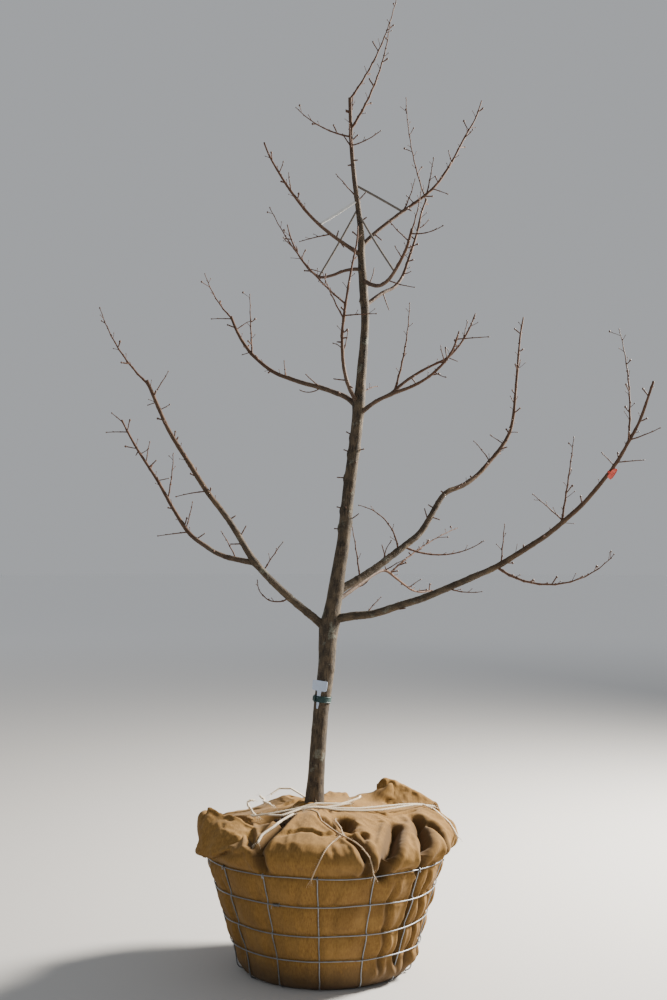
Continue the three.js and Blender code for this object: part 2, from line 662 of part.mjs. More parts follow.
/** A twine run laid on the ball, pressed a little into the burlap. */
function layTwine(plan, ballMesh) {
  const flat = runThrough(plan.map(([x, y]) => new THREE.Vector3(x, y, 0)));
  const points = evenly(0, flat.length, TWINE.step).map((at) => {
    const place = surfaceBelow(ballMesh, flat.at(at).x, flat.at(at).y);
    return place.add(new THREE.Vector3(0, 0, TWINE.radius - TWINE.bite));
  });
  return runThrough(points);
}

/** One piece of twine: its runs, and a knot where they meet. */
function twineSolid(runs, knot, grown) {
  const pieces = runs.map((path) => {
    const stops = evenly(0, path.length, TWINE.step);
    return sweep(path, stops, TWINE.sides, () => 2 * TWINE.radius, grown);
  });
  if (knot) {
    const ball = new THREE.IcosahedronGeometry(TWINE.knot + grown, 0);
    pieces.push(solid(ball.translate(knot.x, knot.y, knot.z)));
  }
  return join(pieces);
}

function buildBallAndWrapping() {
  const plain = ballSolid();
  const ballMesh = new THREE.Mesh(toGeometry(plain));
  let ball = plain.subtract(trunkGrown);
  for (const [name, plans] of Object.entries(TWINES)) {
    const runs = plans.map((plan) => layTwine(plan, ballMesh));
    const knot = runs.length > 1 ? runs[1].at(0) : null;
    ball = ball.subtract(twineSolid(runs, knot, GAP));
    addPiece(name, twineSolid(runs, knot, 0).subtract(trunkGrown), COLOURS.twine);
  }
  addPiece('root_ball', ball, COLOURS.burlap);
  addPiece('wire_basket', basketSolid(), COLOURS.wire, WIRE.metalness);
}

/** A lath's two ends, on the centrelines of the trunk and its bough. */
function lathEnds([, height, limbName, along]) {
  return [trunk.path.at(trunk.path.distanceAtHeight(height)), limbs.get(limbName).path.at(along)];
}

/** Keeps the space of the laths and the tape free of spurs. */
function claimFixings() {
  for (const row of LATHS) {
    const [start, end] = lathEnds(row);
    for (const share of evenly(0.1, 0.9, 0.05)) {
      sticks.push({ place: start.clone().lerp(end, share), radius: row[4] / 2 });
    }
  }
  sticks.push({ place: limbs.get(TAPE.limb).path.at(TAPE.at), radius: TAPE.tail });
}

/** The laths, each with its ends cut to sit against the trunk and a bough. */
function buildLaths() {
  for (const row of LATHS) {
    const [name, , limbName, , wide] = row;
    const [start, end] = lathEnds(row);
    const lath = new THREE.BoxGeometry(wide, LATH_THICK, start.distanceTo(end));
    lath.lookAt(end.clone().sub(start));
    lath.translate((start.x + end.x) / 2, (start.y + end.y) / 2, (start.z + end.z) / 2);
    const cut = solid(lath).subtract(trunkGrown).subtract(grownSolid(limbs.get(limbName)));
    addPiece(name, cut, COLOURS.lath);
  }
}

/** The flat T label and the strap that holds its foot to the trunk. */
function buildLabel() {
  const middle = trunk.path.distanceAtHeight(LABEL.height);
  const place = trunk.path.at(middle);
  const front = trunk.diameterAt(middle) / 2 + GAP + LABEL.thick / 2;
  const lean = Math.atan2(trunk.path.directionAt(middle).x, trunk.path.directionAt(middle).z);
  const plate = (wide, tall, thick, drop) => {
    const geometry = new THREE.BoxGeometry(wide, thick, tall).translate(LABEL.aside, 0, -drop);
    return solid(geometry.rotateY(lean).translate(place.x, place.y - front, place.z));
  };
  const footTall = LABEL.long - LABEL.headTall + 1;
  const head = plate(LABEL.headWide, LABEL.headTall, LABEL.thick, 0);
  const foot = plate(LABEL.footWide, footTall, LABEL.thick, (LABEL.headTall + footTall) / 2 - 1);
  addPiece('name_label', head.add(foot).subtract(trunkGrown), COLOURS.label);

  const at = trunk.path.distanceAtHeight(STRAP.height);
  const strapStops = [at - STRAP.tall / 2, at + STRAP.tall / 2];
  const strap = sweep(trunk.path, strapStops, TRUNK_SIDES, trunk.diameterAt, STRAP.thick);
  const slot = plate(LABEL.footWide + 2 * GAP, 2 * LABEL.long, LABEL.thick + 2 * GAP, LABEL.long);
  addPiece('label_strap', strap.subtract(trunkGrown).subtract(slot), COLOURS.strap);
}

/** Marking tape: a turn round the limb, a knot on its front and two short tails that hang from it. */
function buildTape() {
  const limb = limbs.get(TAPE.limb);
  const stops = [TAPE.at - TAPE.wide / 2, TAPE.at + TAPE.wide / 2];
  const band = sweep(limb.path, stops, TAPE.sides, limb.diameterAt, TAPE.thick + GAP);
  const place = limb.path.at(TAPE.at);
  place.y -= limb.diameterAt(TAPE.at) / 2 + TAPE.thick;
  const knot = solid(new THREE.IcosahedronGeometry(TAPE.knot, 0).translate(place.x, place.y, place.z));
  const tails = [-1, 1].map((side) => {
    const tail = new THREE.BoxGeometry(TAPE.tailWide, TAPE.thick, TAPE.tail).translate(0, 0, -TAPE.tail / 2);
    return solid(tail.rotateY(radians(TAPE.splay * side)).translate(place.x, place.y, place.z));
  });
  addPiece('marking_tape', join([band, knot, ...tails]).subtract(massStem(limb, GAP)), COLOURS.tape);
}

buildTrunk();
buildBoughs();
claimFixings();
buildTwigs();
buildBallAndWrapping();
buildLaths();
buildLabel();
buildTape();

export default model;
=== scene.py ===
# %% [markdown]
# # A young fruit tree, dug and wrapped for sale
#
# A nursery digs a sapling with a ball of earth round its roots, wraps the ball in burlap, drops it into a
# welded wire basket and ties the top with twine. The solids of the tree were made first and are packed. This
# lesson loads them, never moves them, and grows the bark, the finer twigs, the buds and the cloth over them.
# Every piece is in metres in the same frame, so nothing has to be fitted afterwards.

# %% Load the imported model
import json
import math
from functools import cache
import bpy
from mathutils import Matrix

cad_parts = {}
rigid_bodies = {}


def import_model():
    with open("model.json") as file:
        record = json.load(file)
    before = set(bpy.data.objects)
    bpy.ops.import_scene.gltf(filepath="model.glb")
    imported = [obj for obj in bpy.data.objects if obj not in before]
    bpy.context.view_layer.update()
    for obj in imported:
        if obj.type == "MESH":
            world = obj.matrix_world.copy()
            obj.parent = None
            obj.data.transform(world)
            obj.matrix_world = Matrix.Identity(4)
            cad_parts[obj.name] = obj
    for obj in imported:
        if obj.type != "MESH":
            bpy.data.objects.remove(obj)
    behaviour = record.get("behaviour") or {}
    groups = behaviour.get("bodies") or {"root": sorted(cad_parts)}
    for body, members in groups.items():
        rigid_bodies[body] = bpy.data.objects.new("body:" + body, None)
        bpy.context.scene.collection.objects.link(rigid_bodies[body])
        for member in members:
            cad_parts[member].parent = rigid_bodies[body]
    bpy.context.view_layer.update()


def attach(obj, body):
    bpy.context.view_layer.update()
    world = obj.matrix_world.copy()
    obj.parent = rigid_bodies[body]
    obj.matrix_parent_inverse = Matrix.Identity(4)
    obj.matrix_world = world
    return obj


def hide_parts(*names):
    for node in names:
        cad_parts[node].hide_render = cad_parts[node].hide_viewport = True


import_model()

from types import SimpleNamespace

import bmesh
import bpy
import numpy as np
from mathutils import Matrix, Vector, noise
from mathutils.bvhtree import BVHTree

MM = 0.001

# %% [markdown]
# ## The camera
#
# The photograph was taken from about eye height, five metres away, looking very slightly up. A camera could
# be aimed by eye, but the tree was measured in the photograph with this same ruler, so the numbers are given
# as they are: the place, the upward tilt, and the focal length that makes a metre as many pixels as it is.

# %% Camera
EYE = (0.031, -5.0, 1.5)
TILT_UP = 2.096
FOCAL_MM = 49.18

camera = bpy.data.objects.new("camera", bpy.data.cameras.new("camera"))
camera.location = EYE
camera.rotation_euler = (math.radians(90 + TILT_UP), 0, 0)
camera.data.lens = FOCAL_MM
camera.data.clip_end = 300
bpy.context.collection.objects.link(camera)
bpy.context.scene.camera = camera
print("camera at", EYE, "focal length", FOCAL_MM)

# %% [markdown]
# ## Light and floor
#
# Outdoors the low sun stood on the right, a little behind the tree. In a studio one large soft lamp on that
# side models it alike, and a weaker one from the left front keeps the near sides readable. A single small sun
# would give hard shadows of every twig on the burlap, so both lamps are wide.

# %% Lamps, sky and floor
KEY = {"place": (4.4, 1.9, 3.8), "aim": (0, 0, 1.1), "size": 1.3, "power": 1950, "colour": (1.0, 0.94, 0.85)}
FILL = {"place": (-3.6, -4.2, 2.6), "aim": (0, 0, 1.2), "size": 3.4, "power": 25, "colour": (0.9, 0.95, 1.0)}
SKY = {"colour": (0.88, 0.91, 0.95), "strength": 0.46}
# Painted light: the floor lightens away from the tree, so its far part fades into the sky.
FLOOR_NEAR, FLOOR_FAR_PAINTED_LIGHT = (0.50, 0.49, 0.475), (0.97, 0.97, 0.97)


def hang_lamp(name, place, aim, size, power, colour):
    """A square soft lamp, turned towards the place that it lights."""
    lamp = bpy.data.objects.new(name, bpy.data.lights.new(name, "AREA"))
    lamp.data.size = size
    lamp.data.energy = power
    lamp.data.color = colour
    lamp.location = place
    lamp.rotation_euler = (Vector(aim) - Vector(place)).to_track_quat("-Z", "Y").to_euler()
    bpy.context.collection.objects.link(lamp)


def mesh_of(bm, name, outward=False):
    """The mesh of a finished bmesh, with its faces turned outward if that is asked."""
    if outward:
        bmesh.ops.recalc_face_normals(bm, faces=bm.faces)
    mesh = bpy.data.meshes.new(name)
    bm.to_mesh(mesh)
    bm.free()
    return mesh


def lay_floor(radius):
    """A wide round floor at the height of the ball's underside."""
    bm = bmesh.new()
    bmesh.ops.create_circle(bm, cap_ends=True, segments=96, radius=radius)
    floor = bpy.data.objects.new("floor", mesh_of(bm, "floor"))
    bpy.context.collection.objects.link(floor)
    return floor


hang_lamp("key_lamp", **KEY)
hang_lamp("fill_lamp", **FILL)
world = bpy.data.worlds.new("studio")
world.use_nodes = True
world.node_tree.nodes["Background"].inputs["Color"].default_value = (*SKY["colour"], 1)
world.node_tree.nodes["Background"].inputs["Strength"].default_value = SKY["strength"]
bpy.context.scene.world = world
floor = lay_floor(80)

# %% [markdown]
# ## Shader maths as expressions
#
# A finish is a small sum: bark is dark wood plus paler dashes plus lichen where the noise is high. Node
# trees can be wired by hand, but a sum reads better as a sum. A Flow wraps one socket and each operator adds
# its Math node; a Finish is one material, and its node method adds every other kind of node.


# %% Flow and Finish
class Flow:
    """A socket on its way through a material, so that shader maths reads as Python."""

    def __init__(self, finish, socket):
        self.finish = finish
        self.socket = socket

    def math(self, operation, *values):
        return self.finish.node("Math", {"operation": operation}, dict(enumerate(values)))

    def __add__(self, other):
        return self.math("ADD", self, other)

    def __sub__(self, other):
        return self.math("SUBTRACT", self, other)

    def __rsub__(self, other):
        return self.math("SUBTRACT", other, self)

    def __mul__(self, other):
        return self.math("MULTIPLY", self, other)

    def __abs__(self):
        return self.math("ABSOLUTE", self)

    __radd__ = __add__
    __rmul__ = __mul__


class Finish:
    """One material: a Principled shader with its shine and any other constants on its own sockets."""

    def __init__(self, name, shine, **constants):
        self.material = bpy.data.materials.new(name)
        self.material.use_nodes = True
        self.tree = self.material.node_tree
        self.shader = self.tree.nodes["Principled BSDF"]
        self.shade(Specular_IOR_Level=shine, **constants)

    def feed(self, socket, value):
        if isinstance(value, Flow):
            self.tree.links.new(value.socket, socket)
        elif isinstance(value, tuple) and len(value) < len(socket.default_value):
            socket.default_value = (*value, 1)
        else:
            socket.default_value = value

    def node(self, kind, settings=(), sockets=(), output=0):
        """Any node: its settings first, then what its sockets are fed."""
        node = self.tree.nodes.new("ShaderNode" + kind)
        for setting, value in dict(settings).items():
            setattr(node, setting, value)
        for socket, value in dict(sockets).items():
            self.feed(node.inputs[socket], value)
        return Flow(self, node.outputs[output])

    def attribute(self, name, output="Vector"):
        return self.node("Attribute", {"attribute_name": name}, output=output)

    def place(self):
        return self.node("TexCoord", output="Object")

    def stretched(self, vector, factors):
        return self.node("VectorMath", {"operation": "MULTIPLY"}, {0: vector, 1: factors})

    def parts(self, vector):
        """A vector's three numbers."""
        split = self.node("SeparateXYZ", (), {0: vector}).socket.node
        return [Flow(self, socket) for socket in split.outputs]

    def clouds(self, vector, scale, detail=3, roughness=0.55):
        """Noise from 0 to 1, with scale as the number of blotches in a metre."""
        sockets = {"Vector": vector, "Scale": scale, "Detail": detail, "Roughness": roughness}
        return self.node("TexNoise", (), sockets)

    def spots(self, scale, *more):
        """Clouds laid out by the piece's own coordinates."""
        return self.clouds(self.place(), scale, *more)

    def rise(self, value, low, high):
        """0 below low and 1 above high, with a soft step between; from 1 to 0 if low is above high."""
        start, end = sorted((low, high))
        step = self.node("MapRange", {"interpolation_type": "SMOOTHSTEP"}, {0: value, 1: start, 2: end})
        return step if low < high else 1 - step

    def blend(self, share, first, second):
        """One colour over another."""
        mix = self.node("Mix", {"data_type": "RGBA"}, {0: share, 6: first, 7: second}).socket.node
        return Flow(self, mix.outputs[2])

    def bump(self, height, depth):
        """A height as a normal, with its depth in metres."""
        return self.node("Bump", (), {"Height": height, "Distance": depth})

    def shade(self, **surface):
        """Feeds the shader's own sockets, an underscore for each space in their names."""
        for socket, value in surface.items():
            self.feed(self.shader.inputs[socket.replace("_", " ")], value)
        return self.material


finish = Finish("studio floor", 0.1, Roughness=0.9)
# Painted light: lighter with distance from the tree.
away = finish.node("VectorMath", {"operation": "LENGTH"}, {0: finish.place()}, output=1)
floor_colour = finish.blend(finish.rise(away, 1.5, 20), FLOOR_NEAR, FLOOR_FAR_PAINTED_LIGHT)
floor.data.materials.append(finish.shade(Base_Color=floor_colour))
print("floor finish:", finish.material.name)

# %% [markdown]
# ## Bark, from the trunk to the youngest twig
#
# Young fruit wood changes with its thickness: the trunk is mottled grey-brown with pale cork dashes across it
# and fine cracks near the foot, and this year's shoots are smooth, satin and reddish. One picture of bark per
# size could be painted, but a rule does it better: every tube below carries its own place on the limb, and
# its distance from the middle of the wood says how old the bark there is.


# %% Bark finish
def bark_finish(name, dashes, cracks, lichen, roughness, relief, shine):
    """Bark that is reddish where the wood is thin and mottled grey-brown where it is thick."""
    finish = Finish(name, shine)
    grain = finish.attribute("grain")
    across = finish.stretched(grain, (1, 1, 0))
    girth = finish.node("VectorMath", {"operation": "LENGTH"}, {0: across}, output=1)
    age = finish.rise(girth, 0.0022, 0.013)

    blotches = finish.clouds(finish.stretched(grain, (1, 1, 0.55)), 46, 4)
    speckle = finish.clouds(grain, 420, 3, 0.7)
    patches = finish.spots(21, 5, 0.6)
    rings = finish.clouds(finish.stretched(grain, (0.5, 0.5, 5)), 150, 2)
    dash = finish.rise(finish.clouds(finish.stretched(grain, (1, 1, 3.6)), 150, 2), 0.60, 0.68) * dashes
    cracked = finish.clouds(finish.stretched(grain, (1, 1, 0.13)), 240, 3, 0.6)
    crack = finish.rise(cracked, 0.44, 0.36) * cracks

    young = finish.blend(blotches, (0.052, 0.024, 0.016), (0.128, 0.066, 0.041))
    young = finish.blend(finish.rise(rings, 0.5, 0.75) * 0.45, young, (0.17, 0.12, 0.085))
    old = finish.blend(finish.rise(blotches, 0.30, 0.72), (0.024, 0.018, 0.012), (0.098, 0.071, 0.043))
    old = finish.blend(finish.rise(speckle, 0.45, 0.8) * 0.5, old, (0.150, 0.116, 0.076))
    colour = finish.blend(age, young, old)
    colour = finish.blend(dash * 0.55, colour, (0.205, 0.155, 0.110))
    colour = finish.blend(crack * age * 0.8, colour, (0.016, 0.012, 0.010))
    grey_green = finish.rise(patches, 0.585, 0.66) * finish.rise(speckle, 0.35, 0.6) * age * lichen
    colour = finish.blend(grey_green, colour, (0.205, 0.215, 0.170))

    height = speckle * 0.35 + blotches * 0.4 + dash * 0.5 + grey_green * 0.4 - crack * age * 1.6
    fine = finish.bump(height + rings * (1 - age) * 0.5, relief)
    rough = roughness + (speckle - 0.5) * 0.2 + age * 0.16
    return finish.shade(Base_Color=colour, Roughness=rough, Normal=fine)


trunk_finish = bark_finish("trunk bark", 1.0, 1.0, 0.75, 0.66, 0.0011, 0.35)
bough_finish = bark_finish("bough bark", 0.9, 0.35, 0.55, 0.62, 0.0009, 0.3)
twig_finish = bark_finish("twig bark", 0.6, 0.0, 0.15, 0.68, 0.0003, 0.15)
print("bark finishes:", [one.name for one in (trunk_finish, bough_finish, twig_finish)])

# %% [markdown]
# ## The rule that the tree grows by
#
# A limb is a centreline stepped forward ten millimetres at a time, with its heading and its rise eased from
# one stretch to the next. A curve could be drawn through clicked points, but stretches of so many millimetres
# at so many degrees are what was measured on the tree, and the solids were grown by this same rule. Lengths
# here are millimetres. A heading of 0 is to the right and 90 is away from the viewer; a rise is from level.

# %% Growth rule
STEP = 10
BEND = 45


def direction(heading, rise):
    away, up = math.radians(heading), math.radians(rise)
    return np.array((math.cos(up) * math.cos(away), math.cos(up) * math.sin(away), math.sin(up)))


def unit(way):
    return way / np.linalg.norm(way)


def square_to(along, way):
    """What is square to a direction in a way, as a unit vector."""
    return unit(way - along * way.dot(along))


def seeded(seed):
    """Seeded random numbers from 0 to 1, the same ones that the solids were grown with."""
    state = seed
    while True:
        state = state * 16807 % 2147483647
        yield state / 2147483647


def between(pairs, x):
    """The value at x on straight lines through (x, y) pairs."""
    return float(np.interp(x, [pair[0] for pair in pairs], [pair[1] for pair in pairs]))


class Path:
    """A centreline: points a fixed step apart, with the place at any distance along it."""

    def __init__(self, points, step=STEP):
        self.points = np.array(points, float)
        self.step = step
        self.length = (len(points) - 1) * step

    def at(self, distance):
        i = min(max(int(distance // self.step), 0), len(self.points) - 2)
        return self.points[i] + (self.points[i + 1] - self.points[i]) * (distance / self.step - i)

    def direction_at(self, distance):
        return unit(self.at(distance + self.step) - self.at(distance - self.step))

    def distance_at_height(self, height):
        i = int(np.argmax(self.points[:, 2] >= height))
        below, above = self.points[i - 1][2], self.points[i][2]
        return (i - 1 + (height - below) / (above - below)) * self.step


def eased(stretches, column):
    """Stretches as (distance, value) pairs that hold each value and bend from one to the next."""
    pairs = []
    start = 0
    for stretch in stretches:
        soft = min(BEND, stretch[0] / 2 - 1)
        pairs += [(start + soft, stretch[column]), (start + stretch[0] - soft, stretch[column])]
        start += stretch[0]
    return pairs


def grow(root, length, heading_at, rise_at):
    """Steps a centreline forward from its root."""
    points = [np.array(root, float)]
    for i in range(max(2, math.floor(length / STEP + 0.5))):
        middle = (i + 0.5) * STEP
        points.append(points[-1] + direction(heading_at(middle), rise_at(middle)) * STEP)
    return Path(points)


# The trunk: [length, rise, heading] from its foot to its tip, and [height, diameter].
TRUNK_FOOT = (-41, 0, 548)
TRUNK_BARE = 2420
TRUNK_STRETCHES = [
    [360, 86, 0], [170, 82.5, 0], [110, 88, 0], [350, 80.5, 0], [190, 84, 20], [185, 82, -20], [130, 84, 0],
    [315, 85.5, 10], [120, 94, 0], [120, 93.5, 0], [85, 90, 0], [205, 97.5, 0], [130, 95, 0], [165, 91.5, 0],
]
TRUNK_GIRTH = [
    [548, 78], [600, 69], [680, 60], [900, 57], [1080, 61], [1200, 68], [1330, 54], [1520, 48], [1780, 44],
    [1960, 42], [2030, 44], [2110, 37], [2300, 30], [2460, 32], [2600, 26], [2790, 19], [2960, 16],
    [3172, 12],
]

# The limbs: what each leaves, at which height or distance along it, its heading and how far that swings, its
# diameters at root and tip, and how much of it is bare bough.
LIMBS = {
    "low_left": ("trunk", 1208, 192, 8, 30, 12, 600),
    "low_left_fork": ("low_left", 365, 170, -8, 20, 7, 250),
    "low_right": ("trunk", 1243, 343, -6, 31, 8, 620),
    "low_right_rising": ("trunk", 1345, 24, 8, 30, 6, 600),
    "low_back": ("trunk", 1305, 46, 4, 16, 5, 300),
    "mid_left": ("trunk", 2018, 156, -8, 20, 10, 300),
    "mid_upright": ("trunk", 2028, 225, 0, 16, 5, 170),
    "mid_right": ("trunk", 1995, 328, -8, 17, 6, 230),
    "mid_right_fork": ("mid_right", 150, 8, 6, 12, 5, 120),
    "high_left_low": ("trunk", 2535, 144, -8, 13, 4.5, 235),
    "high_left": ("trunk", 2585, 201, 7, 15, 6, 230),
    "high_right": ("trunk", 2620, 14, 8, 15, 5, 240),
    "high_front": ("trunk", 2494, 296, 10, 16, 9, 265),
    "high_right_steep": ("trunk", 2398, 31, 8, 14, 7, 215),
}
# Their stretches from root to tip: [length, rise], and a heading where a limb winds.
STRETCHES = {
    "low_left": [[180, 39], [140, 43], [60, 50], [165, 59], [130, 51], [265, 57], [190, 66]],
    "low_left_fork": [[135, 11], [140, 33], [145, 57], [70, 61], [185, 55], [105, 61]],
    "low_right": [
        [75, 13], [80, 4], [220, 18], [280, 23], [210, 32], [160, 40], [170, 50], [170, 60], [140, 71],
    ],
    "low_right_rising": [
        [160, 27], [260, 34], [190, 57], [78, 15], [90, 33], [165, 45], [60, 56], [50, 73], [350, 84],
        [68, 76],
    ],
    "low_back": [[255, 25], [45, 17], [130, -28], [80, -26], [60, -5], [60, 6]],
    "mid_left": [[50, 46], [130, 21], [75, 15], [140, 20], [125, 38], [105, 53], [75, 66]],
    "mid_upright": [
        [95, 50, 225], [75, 72, 225], [95, 86, 240], [120, 76, 300], [120, 77, 315], [130, 76, 330],
        [30, 88, 330],
    ],
    "mid_right": [[95, 32], [60, 18], [113, 13], [48, 23], [105, 35], [30, 49], [75, 68]],
    "mid_right_fork": [[90, 41], [45, 33], [60, 29], [58, 24], [95, 49], [60, 61], [50, 68]],
    "high_left_low": [[67, 6], [90, -13], [40, 0], [40, 32], [112, 47], [95, 61], [42, 72]],
    "high_left": [[140, 29], [85, 35], [85, 45], [75, 50], [130, 55], [30, 67]],
    "high_right": [[62, 46], [155, 39], [60, 35], [105, 40], [110, 56], [140, 62], [65, 57], [78, 71]],
    "high_front": [[80, -24], [60, -13], [48, 12], [90, 36], [77, 48], [50, 67]],
    "high_right_steep": [[105, 37], [50, 23], [42, 46], [210, 68], [100, 76], [42, 62]],
}
# Their shoots: [distance along the limb, heading, rise at root, rise at tip, length].
SHOOTS = {
    "low_left": [
        [1112, 192, 42, 72, 318], [190, 200, -38, 88, 165], [325, 20, 58, 52, 125],
        [680, 186, -4, -16, 108], [745, 150, 80, 84, 34], [1015, 20, 28, 32, 36], [1045, 190, -18, -22, 28],
        [1072, 15, 55, 62, 104],
    ],
    "low_left_fork": [
        [75, 150, 62, 52, 122], [285, 192, -6, -9, 112], [300, 20, 72, 80, 103], [430, 40, 76, 88, 168],
        [510, 10, 10, 14, 38], [590, 60, 80, 70, 82], [630, 15, 32, 36, 30], [728, 174, 3, -3, 76],
        [772, 180, 36, 42, 50],
    ],
    "low_right": [
        [650, 352, -38, 50, 450], [668, 20, 84, 84, 138], [925, 350, 80, 83, 300], [935, 172, 44, 40, 138],
        [1194, 165, 46, 50, 63], [1208, 345, 5, 3, 92], [1286, 175, 96, 76, 390], [1296, 330, 14, 24, 113],
        [455, 335, -18, 8, 128], [133, 40, 42, 36, 96],
    ],
    "low_right_rising": [
        [850, 168, 60, 46, 98], [948, 185, 30, 36, 61], [330, 6, -26, 34, 320], [300, 178, 88, 12, 240],
        [225, 40, 82, 44, 94], [112, 180, 84, 79, 196], [1003, 340, 4, -6, 30], [1120, 120, 40, 60, 40],
        [1255, 300, 50, 70, 36],
    ],
    "low_back": [[345, 42, 34, 16, 420], [312, 10, 32, 26, 88], [475, 20, 40, 24, 62]],
    "mid_left": [
        [692, 156, 43, 70, 215], [515, 165, 86, 89, 225], [690, 168, 4, 0, 75], [640, 20, 44, 25, 66],
        [338, 140, 86, 84, 62], [528, 186, -20, -16, 27],
    ],
    "mid_upright": [
        [388, 188, 38, 64, 438], [335, 214, 54, 66, 182], [346, 330, 0, -4, 134], [226, 205, 46, 4, 42],
        [212, 20, 66, 84, 76],
    ],
    "mid_right": [[500, 345, 3, 1, 108], [355, 310, -34, -14, 57], [408, 250, 30, 60, 70]],
    "mid_right_fork": [[25, 350, 72, 88, 320], [262, 330, -30, -20, 40], [345, 60, 50, 74, 90]],
    "high_left_low": [
        [182, 110, 87, 89, 56], [268, 350, -14, -20, 54], [168, 330, -64, -60, 43], [380, 200, 30, 50, 60],
    ],
    "high_left": [
        [140, 194, -12, -20, 122], [258, 150, 60, 50, 58], [352, 260, 40, 66, 74], [430, 330, 60, 72, 44],
    ],
    "high_right": [
        [215, 10, 62, 77, 131], [332, 15, 75, 82, 135], [270, 168, 46, 48, 42], [366, 350, -20, -24, 60],
        [500, 100, 40, 60, 66], [612, 330, 30, 44, 42],
    ],
    "high_front": [
        [400, 310, 60, 80, 150], [392, 335, -12, 26, 120], [365, 190, 40, 48, 104],
        [190, 330, -26, -12, 105], [300, 240, 20, 40, 60],
    ],
    "high_right_steep": [
        [544, 165, 70, 88, 408], [300, 80, 40, 58, 70], [420, 20, 30, 50, 56], [228, 300, -10, 10, 50],
    ],
}
# Shoots on the trunk: [height, heading, rise at root, rise at tip, length].
TRUNK_SHOOTS = [
    [3168, 5, 54, 78, 440], [3055, 350, 55, 84, 428], [3028, 190, 6, 44, 226], [2995, 345, 10, 36, 124],
    [3100, 80, 44, 70, 130], [2982, 262, 34, 60, 96], [2800, 168, 50, 50, 118], [2065, 52, 38, 8, 118],
]
COLLAR = {"swell": 0.32, "reach": 26, "share": 0.84}


def grow_stem(root, stretches, heading_at):
    rises = eased(stretches, 1)
    length = sum(stretch[0] for stretch in stretches)
    return grow(root, length, heading_at, lambda at: between(rises, at))


def plant_trunk():
    headings = eased(TRUNK_STRETCHES, 2)
    path = grow_stem(TRUNK_FOOT, TRUNK_STRETCHES, lambda at: between(headings, at))
    shoots = [[path.distance_at_height(height), *rest] for height, *rest in TRUNK_SHOOTS]

    def diameter_at(at):
        return between(TRUNK_GIRTH, path.at(at)[2])

    return SimpleNamespace(name="leader", path=path, bare=TRUNK_BARE, diameter_at=diameter_at, shoots=shoots)


def plant_limb(name, parent_name, leaves, heading, swing, root, tip, bare):
    """A limb's centreline and diameters: an even taper, with a collar at its root within its parent."""
    parent = limbs.get(parent_name, trunk)
    if parent is trunk:
        leaves = trunk.path.distance_at_height(leaves)
    stretches = STRETCHES[name]
    total = sum(stretch[0] for stretch in stretches)
    headings = eased(stretches, 2) if len(stretches[0]) > 2 else None

    def heading_at(at):
        return between(headings, at) if headings else heading + swing * at / total

    path = grow_stem(parent.path.at(leaves), stretches, heading_at)
    most = COLLAR["share"] * parent.diameter_at(leaves)

    def diameter_at(at):
        swollen = 1 + COLLAR["swell"] * math.exp(-at / COLLAR["reach"])
        return min((root + (tip - root) * at / path.length) * swollen, most)

    return SimpleNamespace(
        name=name, path=path, bare=bare, diameter_at=diameter_at, shoots=SHOOTS[name],
        parent=parent, leaves=leaves, thick=root,
    )


trunk = plant_trunk()
limbs = {}
for limb_name, limb_facts in LIMBS.items():
    limbs[limb_name] = plant_limb(limb_name, *limb_facts)
print("trunk:", trunk.path.length, "mm; limbs:", len(limbs), "; trunk tip:", trunk.path.points[-1].round(1))

# %% [markdown]
# ## One tube for every stick
#
# Trunk, bough, twig and wire are all a round section carried along a line. A curve object with a bevel gives
# that, but it takes no knots, collars or cracks, so each is a closed cylinder from one bmesh operator, cut
# into rings by another, whose rings are then moved onto the centreline. Each vertex also keeps its place on
# the stick as an attribute called grain, which the bark above reads.


# %% Tube maker
@cache
def plain_tube(sides, rings):
    """A closed cylinder with evenly spaced rings, and the turn and the ring of each of its vertices."""
    bm = bmesh.new()
    bmesh.ops.create_cone(bm, cap_ends=True, segments=sides, radius1=1, radius2=1, depth=1)
    uprights = [edge for edge in bm.edges if abs(edge.verts[0].co.z - edge.verts[1].co.z) > 0.5]
    bmesh.ops.subdivide_edges(bm, edges=uprights, cuts=rings - 2)
    mesh = mesh_of(bm, "plain_tube")
    places = read_places(mesh)
    turn = np.arctan2(places[:, 1], places[:, 0])
    return mesh, turn, np.rint((places[:, 2] + 0.5) * (rings - 1)).astype(int)


def read_places(mesh):
    places = np.empty(len(mesh.vertices) * 3, np.float32)
    mesh.vertices.foreach_get("co", places)
    return places.reshape(-1, 3).astype(float)


def write_places(mesh, places):
    """Moves a mesh's vertices to places in millimetres."""
    mesh.vertices.foreach_set("co", (places * MM).astype(np.float32).ravel())
    mesh.update()


def side_by_side(*values):
    """Columns of numbers side by side, with one row for each place."""
    return np.stack(np.broadcast_arrays(*values), axis=1)


def write_vectors(mesh, name, vectors):
    """Three numbers for each vertex, for a material to read."""
    attribute = mesh.attributes.new(name, "FLOAT_VECTOR", "POINT")
    attribute.data.foreach_set("vector", vectors.astype(np.float32).ravel())


def evenly(start, end, spacing):
    return np.linspace(start, end, max(1, round((end - start) / spacing)) + 1)


def lengths_along(points):
    """How far along a line each of its points is."""
    return np.concatenate(([0], np.cumsum(np.linalg.norm(np.diff(points, axis=0), axis=1))))


def sections(path, stops):
    """Centres along a path with two sideways directions that turn as little as they can."""
    ahead = np.array([path.direction_at(stop) for stop in stops])
    side = np.array((1.0, 0, 0)) if abs(ahead[0][0]) < 0.9 else np.array((0, 1.0, 0))
    across = []
    for forward in ahead:
        side = square_to(forward, side)
        across.append(side)
    return np.array([path.at(stop) for stop in stops]), np.array(across), np.cross(ahead, across)


